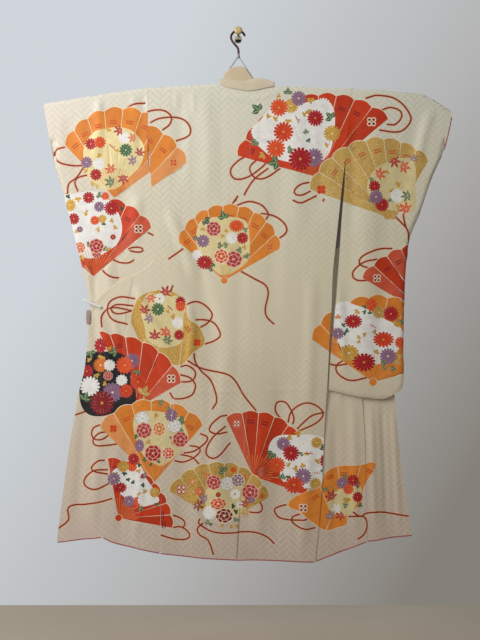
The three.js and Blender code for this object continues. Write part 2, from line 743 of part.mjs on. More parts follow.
const TIE_RADIUS = 4;
const TIE_LINE = [
  [-452, -35.5, -899],
  [-466, -35.6, -893],
  [-484, -35.6, -886],
  [-500, -35, -878],
  [-509, -32, -873],
  [-511, -26, -874],
];
add("tie", rod(TIE_LINE, TIE_RADIUS, 14, 4), TIE_WHITE);

const COLLAR_END = [
  { x: -502, z: -906, toX: -486, toZ: -906, depth: -32.4 },
  { x: -503, z: -930, toX: -487, toZ: -930, depth: -32.8 },
  { x: -502, z: -956, toX: -489, toZ: -956, depth: -33 },
];
add("collar_end", collarRun(COLLAR_END), LINING_RED);

// ---- the hanger: two arms in one bar, two wires, the ferrule and the hook ----

const BAR_END = 611;
const BAR_EASE = 1; // between the top of the bar and the cloth over it
const barPoint = (x) => [x, BAR_Y, shoulderLine(x) - FOLD_RADIUS - BAR_EASE];
const ARM_LEFT = [-BAR_END, -520, -422, -360, -297, -230, -150, -80];
const NECK_BEND = [
  [-58, BAR_Y, -173],
  [0, BAR_Y, -175],
  [40, BAR_Y, -176],
  [80, BAR_Y, -177],
];
const ARM_RIGHT = [124, 200, 300, 376, 469, 558, BAR_END];
const barLine = [...ARM_LEFT.map(barPoint), ...NECK_BEND, ...ARM_RIGHT.map(barPoint)];
add("hanger_bar", rod(barLine, BAR_RADIUS, 40, 5), HANGER_GREY);

const WIRE_RADIUS = 1.5;
const FERRULE = { x: 2, top: -60, foot: -73, radius: 3.6 };
const BAR_TOP = { left: -165.6, right: -170.4 };
const WIRES = [
  { name: "hanger_wire_left", line: [[-2.5, -74], [-48, -140], [-56, BAR_TOP.left + 1.5]] },
  { name: "hanger_wire_right", line: [[6.5, -74], [51, -143], [68, BAR_TOP.right + 1.5]] },
];
for (const { name, line } of WIRES) {
  const points = line.map(([x, z]) => [x, BAR_Y, z]);
  add(name, rod(points, WIRE_RADIUS, 12, 3), HANGER_GREY);
}

const ferrule = new THREE.CylinderGeometry(
  FERRULE.radius,
  FERRULE.radius + 1.5,
  FERRULE.top - FERRULE.foot,
  12,
);
ferrule.rotateX(Math.PI / 2);
add("ferrule", ferrule, HANGER_GREY).position.set(FERRULE.x, BAR_Y, (FERRULE.top + FERRULE.foot) / 2);

const HOOK_RADIUS = 3.75;
const HOOK_LINE = [
  [23, -1],
  [18, 8],
  [10, 15.6],
  [0, 18.3],
  [-12, 14],
  [-21, 4],
  [-23, -8],
  [-17, -20],
  [-8, -31],
  [0, -42],
  [FERRULE.x, FERRULE.top + 2 * SEAM],
];
const hookPoints = HOOK_LINE.map(([x, z]) => [x, BAR_Y, z]);
add("hanger_hook", rod(hookPoints, HOOK_RADIUS, 40, 5), HOOK_MAROON);

// ---- the wall hook: plate, bracket, stem and knob ----

const PLATE = { radius: 13, depth: 4 };
const STEM = { x: 1, z: 11, radius: 3, length: 32 };
const KNOB = { x: 1, z: 13, radius: 13.5, depth: 13 };
const BRACKET = { width: 18, height: 7, depth: 9, z: -8.5 };

const plate = new THREE.CylinderGeometry(PLATE.radius, PLATE.radius, PLATE.depth, 32);
add("wall_plate", plate, DARK_STEEL).position.set(0, -PLATE.depth / 2, 0);

const bracket = new THREE.BoxGeometry(BRACKET.width, BRACKET.depth, BRACKET.height);
const bracketY = -PLATE.depth - SEAM - BRACKET.depth / 2;
add("hook_bracket", bracket, DARK_STEEL).position.set(0, bracketY, BRACKET.z);

const stem = new THREE.CylinderGeometry(STEM.radius, STEM.radius, STEM.length, 16);
const stemY = -PLATE.depth - SEAM - STEM.length / 2;
add("knob_stem", stem, DARK_STEEL).position.set(STEM.x, stemY, STEM.z);

const knobProfile = [
  [0, 0],
  [0.62, 0],
  [0.9, 0.12],
  [1, 0.4],
  [0.96, 0.68],
  [0.78, 0.9],
  [0.4, 1],
  [0, 1],
].map(([r, h]) => new THREE.Vector2(r * KNOB.radius, h * KNOB.depth));
const knob = new THREE.LatheGeometry(knobProfile, 24);
knob.rotateX(Math.PI);
const knobY = -PLATE.depth - STEM.length - 2 * SEAM;
add("knob", knob, KNOB_CREAM).position.set(KNOB.x, knobY, KNOB.z);

export default furisode;
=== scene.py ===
import math

import bmesh
import bpy
import numpy as np
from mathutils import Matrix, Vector
from mathutils.bvhtree import BVHTree
from mathutils.geometry import delaunay_2d_cdt


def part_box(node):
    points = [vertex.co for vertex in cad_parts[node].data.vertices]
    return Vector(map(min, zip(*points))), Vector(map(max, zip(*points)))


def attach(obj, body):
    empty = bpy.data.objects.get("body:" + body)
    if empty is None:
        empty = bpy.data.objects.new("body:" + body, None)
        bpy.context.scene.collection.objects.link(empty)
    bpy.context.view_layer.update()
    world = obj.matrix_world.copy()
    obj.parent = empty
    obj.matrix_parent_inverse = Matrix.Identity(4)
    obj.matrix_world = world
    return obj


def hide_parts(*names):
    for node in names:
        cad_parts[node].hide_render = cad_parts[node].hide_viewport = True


# A furisode hung by its hanger on a small wall hook, its back to the room. The dyed design is laid
# out on the cut cloth in millimetres: x to the right and z up from the centre of the hook's plate.

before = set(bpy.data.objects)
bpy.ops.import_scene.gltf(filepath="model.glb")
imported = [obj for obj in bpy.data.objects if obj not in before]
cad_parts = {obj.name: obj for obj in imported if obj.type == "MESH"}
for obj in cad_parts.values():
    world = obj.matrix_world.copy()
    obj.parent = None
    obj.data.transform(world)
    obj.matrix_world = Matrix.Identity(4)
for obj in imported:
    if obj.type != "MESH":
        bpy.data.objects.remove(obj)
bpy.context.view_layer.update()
MM = 0.001


# ---- camera, light and floor ----

def add_camera():
    data = bpy.data.cameras.new("camera")
    data.sensor_fit = "AUTO"
    data.sensor_width = 36
    data.lens = 40.9
    camera = bpy.data.objects.new("camera", data)
    camera.location = (0.0066, -2.438, -0.9405)
    camera.rotation_euler = (math.radians(90), 0, 0)
    bpy.context.scene.collection.objects.link(camera)
    bpy.context.scene.camera = camera


def add_area_light(name, place, target, size, power, colour):
    data = bpy.data.lights.new(name, "AREA")
    data.shape = "RECTANGLE"
    data.size, data.size_y = size
    data.energy = power
    data.color = colour
    light = bpy.data.objects.new(name, data)
    light.location = place
    aim = Vector(target) - Vector(place)
    light.rotation_euler = aim.to_track_quat("-Z", "Y").to_euler()
    bpy.context.scene.collection.objects.link(light)


def add_lights():
    add_area_light("window", (-1.75, -1.75, 0.15), (-0.1, 0, -0.7), (1.3, 1.6), 50, (1.0, 0.985, 0.96))
    add_area_light("ceiling", (-0.5, -1.5, 1.5), (-0.1, 0, -0.4), (1.6, 1.0), 11, (1.0, 0.97, 0.92))
    add_pale_room()
    bpy.context.scene.view_settings.view_transform = "Standard"


def add_pale_room():
    """A pale wall all round the far side, brighter towards the window, and a dimmer room in front."""
    world = bpy.data.worlds.new("pale room")
    world.use_nodes = True
    tree = world.node_tree
    background = tree.nodes["Background"]
    place = tree.nodes.new("ShaderNodeTexCoord").outputs["Generated"]
    axes = tree.nodes.new("ShaderNodeSeparateXYZ")
    tree.links.new(place, axes.inputs[0])
    lean = tree.nodes.new("ShaderNodeMath")
    lean.operation = "MULTIPLY_ADD"
    tree.links.new(axes.outputs["Z"], lean.inputs[0])
    lean.inputs[1].default_value = -0.6
    tree.links.new(axes.outputs["X"], lean.inputs[2])
    wall = tree.nodes.new("ShaderNodeValToRGB")
    stops = wall.color_ramp.elements
    stops[0].position, stops[0].color = 0.0, linear("#cfd5da")
    stops[1].position, stops[1].color = 1.0, linear("#858079")
    stops.new(0.55).color = linear("#b4b4b4")
    spread = tree.nodes.new("ShaderNodeMapRange")
    tree.links.new(lean.outputs[0], spread.inputs[0])
    spread.inputs[1].default_value = -0.30
    spread.inputs[2].default_value = 0.42
    tree.links.new(spread.outputs[0], wall.inputs[0])
    facing = tree.nodes.new("ShaderNodeMapRange")
    facing.interpolation_type = "SMOOTHSTEP"
    tree.links.new(axes.outputs["Y"], facing.inputs[0])
    facing.inputs[1].default_value = 0.1
    facing.inputs[2].default_value = 0.7
    blend = tree.nodes.new("ShaderNodeMix")
    blend.data_type = "RGBA"
    tree.links.new(facing.outputs[0], blend.inputs[0])
    blend.inputs[6].default_value = linear("#787674")
    tree.links.new(wall.outputs[0], blend.inputs[7])
    tree.links.new(blend.outputs[2], background.inputs["Color"])
    bpy.context.scene.world = world


# ---- material trees ----

def linear(hex_colour, alpha=1.0):
    parts = [int(hex_colour[i : i + 2], 16) / 255 for i in (1, 3, 5)]
    return (*[c / 12.92 if c < 0.04045 else ((c + 0.055) / 1.055) ** 2.4 for c in parts], alpha)


class Finish:
    """A material whose node tree is built a step at a time."""

    def __init__(self, name, roughness=0.5, metallic=0.0):
        self.material = bpy.data.materials.new(name)
        self.material.use_nodes = True
        self.tree = self.material.node_tree
        self.shader = self.tree.nodes["Principled BSDF"]
        self.shader.inputs["Roughness"].default_value = roughness
        self.shader.inputs["Metallic"].default_value = metallic

    def put(self, socket, value):
        if isinstance(value, bpy.types.NodeSocket):
            self.tree.links.new(value, socket)
        else:
            socket.default_value = value

    def node(self, kind, values=(), **settings):
        made = self.tree.nodes.new(kind)
        for key, value in settings.items():
            setattr(made, key, value)
        for key, value in dict(values).items():
            self.put(made.inputs[key], value)
        return made

    def math(self, operation, *values):
        return self.node("ShaderNodeMath", enumerate(values), operation=operation).outputs[0]

    def attribute(self, name):
        return self.node("ShaderNodeAttribute", attribute_name=name)

    def object_place(self):
        return self.node("ShaderNodeTexCoord").outputs["Object"]

    def axes(self, vector):
        split = self.node("ShaderNodeSeparateXYZ", {0: vector})
        return split.outputs

    def noise(self, vector, scale, detail=3.0, stretch=(1, 1, 1)):
        scaled = self.node("ShaderNodeMapping", {"Vector": vector, "Scale": stretch})
        values = {"Vector": scaled.outputs[0], "Scale": scale, "Detail": detail}
        return self.node("ShaderNodeTexNoise", values).outputs["Fac"]

    def span(self, value, low, high, to_low=0.0, to_high=1.0):
        values = {0: value, 1: low, 2: high, 3: to_low, 4: to_high}
        return self.node("ShaderNodeMapRange", values).outputs[0]

    def mix(self, share, a, b, blend="MIX"):
        made = self.node("ShaderNodeMix", data_type="RGBA", blend_type=blend)
        self.put(made.inputs[0], share)
        self.put(made.inputs[6], a)
        self.put(made.inputs[7], b)
        return made.outputs[2]

    def ramp(self, value, *stops):
        made = self.node("ShaderNodeValToRGB", {0: value})
        elements = made.color_ramp.elements
        elements[0].position, elements[0].color = stops[0][0], linear(stops[0][1])
        elements[1].position, elements[1].color = stops[-1][0], linear(stops[-1][1])
        for place, colour in stops[1:-1]:
            elements.new(place).color = linear(colour)
        return made.outputs[0]

    def bump(self, height, strength, distance):
        values = {"Height": height, "Strength": strength, "Distance": distance}
        made = self.node("ShaderNodeBump", values)
        self.put(self.shader.inputs["Normal"], made.outputs[0])

    def colour(self, value):
        self.put(self.shader.inputs["Base Color"], value)

    def set(self, **values):
        for key, value in values.items():
            self.put(self.shader.inputs[key.replace("_", " ").capitalize()], value)


BAR_WIDTH = 0.0152  # of the woven bars that lie at 45 degrees all over the ground
BAR_LENGTH = 3  # in bar widths


def woven_bars(finish, place):
    """0 on the thin lines between the slanting bars of the damask, 1 on the bars."""
    x, _, z = finish.axes(place)
    turn = 1 / (math.sqrt(2) * BAR_WIDTH)
    u = finish.math("MULTIPLY", finish.math("ADD", x, z), turn)
    v = finish.math("MULTIPLY", finish.math("SUBTRACT", x, z), turn)
    column = finish.math("FLOOR", u)
    row = finish.math("FLOOR", v)
    step = finish.math("FLOORED_MODULO", finish.math("ADD", column, row), 2.0 * BAR_LENGTH)
    u_part = finish.math("FRACT", u)
    v_part = finish.math("FRACT", v)
    lying = finish.math("LESS_THAN", step, BAR_LENGTH - 0.5)
    along_u = finish.math("ADD", step, u_part)
    along_v = finish.math("ADD", finish.math("SUBTRACT", step, float(BAR_LENGTH)), v_part)
    along = finish.node("ShaderNodeMix", {0: lying, 2: along_v, 3: along_u}).outputs[0]
    across = finish.node("ShaderNodeMix", {0: lying, 2: u_part, 3: v_part}).outputs[0]
    end = finish.math("MINIMUM", along, finish.math("SUBTRACT", float(BAR_LENGTH), along))
    side = finish.math("MINIMUM", across, finish.math("SUBTRACT", 1.0, across))
    return finish.span(finish.math("MINIMUM", end, side), 0.05, 0.15)


def silk_finish():
    finish = Finish("dyed_silk", roughness=0.46)
    place = finish.object_place()
    x, _, z = finish.axes(place)
    # The ground runs darker and pinker towards the hem, wavering with a cloud: partly the silk's own tone,
    # partly painted shade for the light falling off downwards.
    cloud = finish.noise(place, 2.2)
    height = finish.math("ADD", z, finish.math("MULTIPLY", cloud, 0.25))
    down = finish.span(height, -1.6, 0.0)
    ground = finish.ramp(down, (0.0, "#cdbcae"), (0.28, "#d9ccb4"), (0.6, "#e2dac0"), (0.95, "#e2e0d0"))
    blush = finish.span(x, -0.62, -0.15, 0.4, 0.0)
    ground = finish.mix(blush, ground, linear("#e2d0c4"))
    bars = woven_bars(finish, place)
    low = finish.span(z, -1.0, -0.7, 1.0, 0.0)
    line = finish.mix(low, linear("#b9b39c"), linear("#efe6d6"))
    soft = finish.span(finish.noise(place, 7.0), 0.3, 0.75, 0.16, 0.5)
    lined = finish.math("MULTIPLY", finish.math("SUBTRACT", 1.0, bars), soft)
    ground = finish.mix(lined, ground, line)
    marks = finish.axes(finish.attribute("finish").outputs["Vector"])
    # The lining seen in the slit is greyish lavender above and pinkish lower down, and darker than the cream
    # lining cloth: the lining's own tones with painted shade of the recess.
    lining = finish.ramp(finish.span(z, -1.7, -0.45), (0.0, "#b59a90"), (0.5, "#a89a96"), (1.0, "#a6a2ae"))
    ground = finish.mix(marks[2], ground, lining)
    dye = finish.attribute("dye").outputs["Color"]
    fleck = finish.noise(place, 420.0, 2.0)
    uneven = finish.span(finish.noise(place, 60.0), 0.3, 0.7, 0.9, 1.05)
    dyed = finish.mix(1.0, dye, uneven, "MULTIPLY")
    gold = finish.mix(finish.span(fleck, 0.52, 0.62), dyed, linear("#f0dc9a"))
    gold_share = finish.math("MULTIPLY", marks[1], 0.75)
    dyed = finish.mix(gold_share, dyed, gold)
    finish.colour(finish.mix(marks[0], ground, dyed))
    sheen_side = finish.span(bars, 0.0, 1.0, 0.56, 0.42)
    rough = finish.node("ShaderNodeMix", {0: marks[0], 2: sheen_side, 3: 0.6}).outputs[0]
    finish.set(Roughness=rough)
    finish.set(Metallic=finish.math("MULTIPLY", marks[1], 0.25))
    thread = finish.noise(place, 900.0, 2.0, (1, 1, 0.35))
    relief = finish.math("MULTIPLY_ADD", bars, 0.35, finish.math("MULTIPLY", thread, 0.5))
    finish.bump(relief, 0.22, 0.0006)
    finish.shader.inputs["Sheen Weight"].default_value = 0.12
    finish.shader.inputs["Sheen Roughness"].default_value = 0.4
    finish.shader.inputs["Specular IOR Level"].default_value = 0.42
    return finish.material


def plain_cloth(name, light, dark, roughness=0.6, grain=700.0, sheen=0.1):
    finish = Finish(name, roughness=roughness)
    place = finish.object_place()
    shade = finish.span(finish.noise(place, 9.0), 0.3, 0.7)
    thread = finish.noise(place, grain, 2.0, (1, 1, 0.4))
    base = finish.mix(shade, linear(dark), linear(light))
    finish.colour(finish.mix(finish.span(thread, 0.35, 0.65, 0.0, 0.12), base, linear("#ffffff")))
    finish.set(Roughness=finish.span(thread, 0.3, 0.7, roughness - 0.06, roughness + 0.08))
    finish.bump(thread, 0.3, 0.0005)
    finish.shader.inputs["Sheen Weight"].default_value = sheen
    return finish.material


def hard_finish(name, light, dark, roughness, metallic, scale=120.0, relief=0.08):
    finish = Finish(name, roughness=roughness, metallic=metallic)
    place = finish.object_place()
    wear = finish.noise(place, scale, 4.0)
    finish.colour(finish.mix(finish.span(wear, 0.35, 0.7), linear(dark), linear(light)))
    finish.set(Roughness=finish.span(wear, 0.3, 0.7, roughness - 0.08, roughness + 0.1))
    finish.bump(wear, relief, 0.0004)
    return finish.material


def floor_finish():
    finish = Finish("pale_floor", roughness=0.85)
    place = finish.object_place()
    x, y, _ = finish.axes(place)
    near = finish.math("ADD", y, 0.6)
    squares = finish.math("MULTIPLY", x, x), finish.math("MULTIPLY", near, near)
    reach = finish.math("SQRT", finish.math("ADD", *squares))
    grain = finish.noise(place, 3.0)
    finish.colour(finish.mix(grain, linear("#b0a595"), linear("#bab0a0")))
    finish.set(Alpha=finish.span(reach, 1.2, 2.6, 1.0, 0.0))
    return finish.material


FINISHES = {
    "silk": silk_finish(),
    "inner silk": plain_cloth("inner_silk", "#e9e4d6", "#ddd6c6"),
    "collar silk": plain_cloth("collar_silk", "#ddd0b6", "#cfc0a2", 0.5),
    "collar lining": plain_cloth("collar_lining", "#d9c8a8", "#cbb592", 0.5),
    "collar rose": plain_cloth("collar_rose", "#a8897c", "#977a6d", 0.55),
    "lining red": plain_cloth("lining_red", "#b4432f", "#983324", 0.55),
    "tie": plain_cloth("tie_white", "#f2f2f0", "#dcdfe4", 0.7, 400.0),
    "hanger": hard_finish("hanger_grey", "#9a9ca1", "#83858a", 0.5, 0.1),
    "wire": hard_finish("wire_grey", "#a9abb0", "#85878c", 0.35, 0.7),
    "hook": hard_finish("hook_maroon", "#5d2029", "#3c141b", 0.32, 0.3),
    "plate": hard_finish("plate_cream", "#d8d0bc", "#c4baa2", 0.5, 0.0),
    "steel": hard_finish("dark_steel", "#4a4642", "#2f2c2a", 0.38, 0.9),
    "knob": hard_finish("knob_gold", "#d8c48f", "#bfa56e", 0.3, 0.15, 60.0),
}


# ---- the dyed design: each motif is a list of flat outlines, painted in order ----

TINTS = {
    "vermilion": "#d43c0c",
    "vermilion fold": "#c6360a",
    "orange": "#ea8c30",
    "orange fold": "#df8228",
    "light orange": "#e89a58",
    "light red": "#d4583a",
    "gold cloth": "#d2a854",
    "gold cloth fold": "#c89e4c",
    "old gold": "#cc9c40",
    "old gold fold": "#c09236",
    "pale gold": "#e8d9a6",
    "white": "#f3f2ee",
    "shade": "#cfccc2",
    "black": "#1a161e",
    "cream": "#f2e2c4",
    "rose": "#e9b4a0",
    "crimson": "#b0121e",
    "dark red": "#8c1220",
    "flame": "#e4501a",
    "gold": "#d09a26",
    "amber": "#dc7620",
    "pink": "#b8343a",
    "mauve": "#8f6a88",
    "green": "#4a7248",
    "dark green": "#2f5036",
    "cord": "#8e2c12",
    "cord halo": "#edbc9c",
    "bar red": "#841020",
    "bar orange": "#cc421a",
}
GILT = ("gold cloth", "gold cloth fold", "old gold", "old gold fold", "pale gold", "gold")
GROUND = -1


def turned(x, z, angle, reach):
    return (x + reach * math.cos(angle), z + reach * math.sin(angle))


def disc(x, z, radius, tint, count=12, squash=1.0):
    points = [turned(0, 0, 2 * math.pi * i / count, radius) for i in range(count)]
    return [([(x + px, z + pz * squash) for px, pz in points], tint)]


ROUND_TIP = ((0.0, 0.3), (0.5, 0.9), (0.86, 0.85), (1.0, 0.0))
SHARP_TIP = ((0.0, 0.1), (0.3, 0.85), (0.62, 0.75), (1.0, 0.0))


def petal(x, z, angle, near, far, half, tint, squash=1.0, profile=ROUND_TIP):
    """One petal or leaf that points away from (x, z)."""
    left = [(near + share * (far - near), half * wide) for share, wide in profile]
    outline = left + [(reach, -wide) for reach, wide in reversed(left[:-1])]
    cos, sin = math.cos(angle), math.sin(angle)
    points = [(x + a * cos - b * sin, z + (a * sin + b * cos) * squash) for a, b in outline]
    return (points, tint)


def own_turn(x, z):
    """A turn of its own for each motif, so that no two stand alike."""
    return math.radians((x * 37 + z * 53) % 360)


def paler(tint):
    return {"white": "shade", "pale gold": "gold", "pink": "rose", "crimson": "rose"}.get(tint, "cream")


def mum(x, z, radius, tint, squash=1.0):
    """A chrysanthemum: two rings of narrow petals with pale gaps, and a small eye."""
    turn = own_turn(x, z)
    outer = 12 if radius < 24 else 16
    shapes = disc(x, z, 0.76 * radius, paler(tint), 14, squash)
    for count, near, far in ((outer, 0.3, 1.0), (outer - 4, 0.1, 0.6)):
        half = math.pi * radius * (far - 0.12) / count * 0.84
        for i in range(count):
            angle = turn + 2 * math.pi * (i + (0.5 if far < 1 else 0)) / count
            shapes.append(petal(x, z, angle, near * radius, far * radius, half, tint, squash))
    eye = "gold" if tint in ("crimson", "flame", "vermilion", "dark red") else "cream"
    return shapes + disc(x, z, 0.12 * radius, eye, 7, squash)


def peony(x, z, radius, tint, squash=1.0):
    """A peony: two rings of broad petals, each with a paler edge, round a pale heart."""
    turn = own_turn(x, z)
    shapes = []
    for count, near, far, half in ((8, 0.1, 1.0, 0.4), (5, 0.0, 0.6, 0.34)):
        for i in range(count):
            angle = turn + 2 * math.pi * (i + (0.5 if far < 1 else 0)) / count
            wide = half * radius
            shapes.append(petal(x, z, angle, near * radius, far * radius, wide, paler(tint), squash))
            shapes.append(petal(x, z, angle, near * radius, far * radius * 0.88, wide * 0.8, tint, squash))
    return shapes + disc(x, z, 0.16 * radius, paler(tint), 8, squash)


MAPLE_LOBES = (1.0, 0.95, 0.78, 0.5, 0.5, 0.78, 0.95)


def maple(x, z, radius, tint):
    """A maple leaf: seven pointed lobes with pale veins."""
    turn = own_turn(x, z)
    points = []
    veins = []
    for i, lobe in enumerate(MAPLE_LOBES):
        angle = turn + 2 * math.pi * i / 7
        reach = 1.15 * radius * lobe
        points.append(turned(x, z, angle - 0.25, reach * 0.62))
        points.append(turned(x, z, angle, reach))
        points.append(turned(x, z, angle + 0.25, reach * 0.62))
        points.append(turned(x, z, angle + math.pi / 7, radius * 0.38))
        veins += stroke([(x, z), turned(x, z, angle, reach * 0.6)], 0.9, paler(tint))
    return [(points, tint)] + veins


def leaf(x, z, radius, tint):
    """A spray of three pointed leaves with pale midribs."""
    turn = own_turn(x, z)
    shapes = []
    for k, size in ((-1, 0.9), (1, 0.95), (0, 1.15)):
        angle = turn + k * 1.05
        reach = radius * size
        shapes.append(petal(x, z, angle, 0.0, reach, radius * 0.36, tint, profile=SHARP_TIP))
        rib = [turned(x, z, angle, radius * 0.1), turned(x, z, angle, reach * 0.8)]
        if radius > 12:
            shapes += stroke(rib, 1.0, "cream" if tint != "gold" else "old gold")
    return shapes


def daisy(x, z, radius, tint):
    turn = own_turn(x, z)
    shapes = disc(x, z, 0.5 * radius, paler(tint), 8)
    for i in range(8):
        shapes.append(petal(x, z, turn + math.pi * i / 4, 0.1 * radius, radius, 0.3 * radius, tint))
    return shapes + disc(x, z, 0.24 * radius, "gold", 7)


def twig(x, z, radius, tint):
    turn = own_turn(x, z)
    tip = turned(x, z, turn, radius)
    foot = turned(x, z, turn + math.pi, radius)
    fork = turned(x, z, turn + 0.9, radius * 0.8)
    return stroke([foot, (x, z), tip], 2.6, tint) + stroke([(x, z), fork], 2.0, tint)


MOTIFS = {"mum": mum, "peony": peony, "maple": maple, "leaf": leaf, "daisy": daisy, "twig": twig}


def stroke(points, width, tint):
    """A painted line as a run of four-sided pieces."""
    shapes = []
    normals = []
    for i, here in enumerate(points):
        before = points[max(i - 1, 0)]
        after = points[min(i + 1, len(points) - 1)]
        length = math.dist(before, after) or 1
        normals.append(((before[1] - after[1]) / length, (after[0] - before[0]) / length))
    h = width / 2
    for (a, m), (b, n) in zip(zip(points, normals), zip(points[1:], normals[1:])):
        quad = [(a[0] + m[0] * h, a[1] + m[1] * h), (a[0] - m[0] * h, a[1] - m[1] * h)]
        quad += [(b[0] - n[0] * h, b[1] - n[1] * h), (b[0] + n[0] * h, b[1] + n[1] * h)]
        shapes.append((quad, tint))
    return shapes


def flowing(points, step=9.0, closed=False):
    """A smooth line through a few points, with a point about every step millimetres."""
    line = []
    count = len(points)
    for i in range(count if closed else count - 1):
        a, b = points[i], points[(i + 1) % count]
        before = points[i - 1] if closed or i else a
        after = points[(i + 2) % count] if closed or i + 2 < count else b
        chord = math.dist(a, b)
        leave = tangent(before, b, chord)
        arrive = tangent(a, after, chord)
        pieces = max(1, round(chord / step))
        for k in range(pieces):
            line.append(hermite(a, b, leave, arrive, k / pieces))
    return line if closed else line + [points[-1]]


def tangent(before, after, chord):
    length = math.dist(before, after) or 1
    return tuple((q - p) / length * chord for p, q in zip(before, after))


def hermite(a, b, leave, arrive, t):
    h = (2 * t**3 - 3 * t**2 + 1, t**3 - 2 * t**2 + t, -2 * t**3 + 3 * t**2, t**3 - t**2)
    return tuple(h[0] * a[i] + h[1] * leave[i] + h[2] * b[i] + h[3] * arrive[i] for i in range(2))


CORD_WIDTH = 5.0
HALO_WIDTH = 10.0


def cord(points):
    line = flowing(points)
    return stroke(line, HALO_WIDTH, "cord halo"), stroke(line, CORD_WIDTH, "cord")


CREST_TINTS = {
    "dark dots": ("cream", "dark red", "rose"),
    "red dots": ("light orange", "bar orange", "light orange"),
    "red petals": ("flame", "bar orange", "amber"),
    "crimson dots": ("crimson", "cream", "rose"),
}


def crest(x, z, radius, kind):
    """The small round of four petals on a fan's end segment."""
    pale, dots, halo = CREST_TINTS[kind]
    quarters = [math.pi / 4 + i * math.pi / 2 for i in range(4)]
    shapes = disc(x, z, radius * 0.75, halo, 14)
    for angle in quarters:
        shapes += disc(*turned(x, z, angle, radius * 0.56), radius * 0.52, halo, 10)
    for angle in quarters:
        shapes += disc(*turned(x, z, angle, radius * 0.56), radius * 0.44, pale, 10)
    for angle in quarters:
        shapes += disc(*turned(x, z, angle, radius * 0.56), radius * 0.28, dots, 8)
    return shapes + disc(x, z, radius * 0.16, dots, 6)


BAR_REACH = 12
BAR_APART = 3.8


def paired_bars(x, z, outward, tint):
    """Two short bars side by side, square to the fan's ribs."""
    shapes = []
    for lift in (-BAR_APART, BAR_APART):
        middle = turned(x, z, outward, lift)
        ends = [turned(*middle, outward + math.pi / 2, reach) for reach in (-BAR_REACH, BAR_REACH)]
        shapes += stroke(ends, 3.4, tint)
    return shapes


RIM_BULGE = 0.035
EDGE_LINE = 2.0
MARK_REACH = 0.86  # of the rim: where the paired bars and the crest stand
RAY_REACH = 0.34  # how far the pleats of the foot show


def fan_radius(fan, share):
    start, middle, end = fan["radii"]
    return (
        start * (1 - share) * (1 - 2 * share)
        + middle * 4 * share * (1 - share)
        + end * share * (2 * share - 1)
    )


def fold_angle(fan, share):
    """The way out from the pivot; crowding above 1 draws the first folds narrower than the last."""
    first, last = (math.radians(a) for a in fan["angles"])
    return first + (last - first) * share ** fan.get("crowding", 1)


def fan_place(fan, fold):
    """The place of a mark on one fold: x, z and the way out from the pivot."""
    share = (fold % fan["folds"] + 0.5) / fan["folds"]
    outward = fold_angle(fan, share)
    return *turned(*fan["pivot"], outward, MARK_REACH * fan_radius(fan, share)), outward


def open_leaf(fan):
    """The folded leaf: segments from the pivot out to a scalloped rim, with pale lines between."""
    pivot = fan["pivot"]
    count = fan["folds"]
    ends = {index % count: tint for index, tint in fan.get("ends", ())}
    folded = fan["leaf"] + " fold"
    halo = []
    segments = []
    ribs = []
    for i in range(count):
        rim = []
        for k in range(7):
            share = (i + k / 6) / count
            swell = 1 + RIM_BULGE * math.sin(math.pi * k / 6)
            rim.append((fold_angle(fan, share), fan_radius(fan, share) * swell))
        halo.append(([pivot] + [turned(*pivot, a, r + EDGE_LINE) for a, r in rim], "cream"))
        tint = ends.get(i, folded if i % 2 and folded in TINTS else fan["leaf"])
        segments.append(([pivot] + [turned(*pivot, a, r - 0.4) for a, r in rim], tint))
        if i:
            angle, reach = rim[0]
            ribs.append(ray(pivot, angle, reach, 1.1))
    return halo + segments + ribs


def ray(pivot, angle, reach, half, tint="cream"):
    side = half / reach
    return ([pivot, turned(*pivot, angle - side, reach), turned(*pivot, angle + side, reach)], tint)


def foot_rays(fan):
    """The pale edges of the pleats, close together near the pivot."""
    count = 2 * fan["folds"]
    rays = []
    for i in range(1, count):
        reach = RAY_REACH * fan_radius(fan, i / count)
        rays.append(ray(fan["pivot"], fold_angle(fan, i / count), reach, 0.9, "light orange"))
    return rays


def bent_leaf(fan):
    """A leaf drawn bent over, as one flowing outline with a pale edge."""
    line = flowing(fan["outline"], 12, closed=True)
    middle = (sum(p[0] for p in line) / len(line), sum(p[1] for p in line) / len(line))
    wide = []
    for point in line:
        outward = math.atan2(point[1] - middle[1], point[0] - middle[0])
        wide.append(turned(*point, outward, EDGE_LINE))
    shapes = [(wide, "cream"), (line, fan["leaf"])]
    for fold in fan["pleats"]:
        shapes += stroke(flowing(fold), 1.8, "cream")
    return shapes


def fan_shapes(fan):
    shapes = open_leaf(fan) if "folds" in fan else bent_leaf(fan)
    bar = "bar red" if fan["leaf"] == "vermilion" else "bar orange"
    for fold in fan.get("marks", ()):
        shapes += paired_bars(*fan_place(fan, fold), bar)
    for x, z, outward in fan.get("bars", ()):
        shapes += paired_bars(x, z, math.radians(outward), bar)
    for x, z, radius in fan.get("flecks", ()):
        for i in range(40):
            place = turned(x, z, i * 2.4, radius * math.sqrt(i / 40))
            shapes += disc(*place, 1.3, "cream", 4)
    if "field" in fan:
        tint, *points = fan["field"]
        shapes.append((flowing(points, 10, closed=True), tint))
    if fan.get("rays"):
        shapes += foot_rays(fan)
    if "disc" in fan:
        shapes += disc(*fan["pivot"], fan["disc"] + 1.5, "cream", 16)
        shapes += disc(*fan["pivot"], fan["disc"], fan["leaf"], 16)
    for kind, tint, *places in fan.get("flowers", ()):
        for place in places:
            x, z, radius, *squash = place
            shapes += MOTIFS[kind](x, z, radius, tint, *squash)
    if "crest" in fan:
        fold, radius, kind = fan["crest"]
        x, z, _ = fan_place(fan, fold)
        shapes += crest(x, z, radius, kind)
    if "crest_at" in fan:
        shapes += crest(*fan["crest_at"])
    return shapes


def fan_on(fan, panel):
    """The fan as one panel shows it: across a seam its pivot may stand a little apart."""
    if panel not in fan.get("moved", {}):
        return fan
    x, z = fan["pivot"]
    along, up = fan["moved"][panel]
    return {**fan, "pivot": (x + along, z + up)}


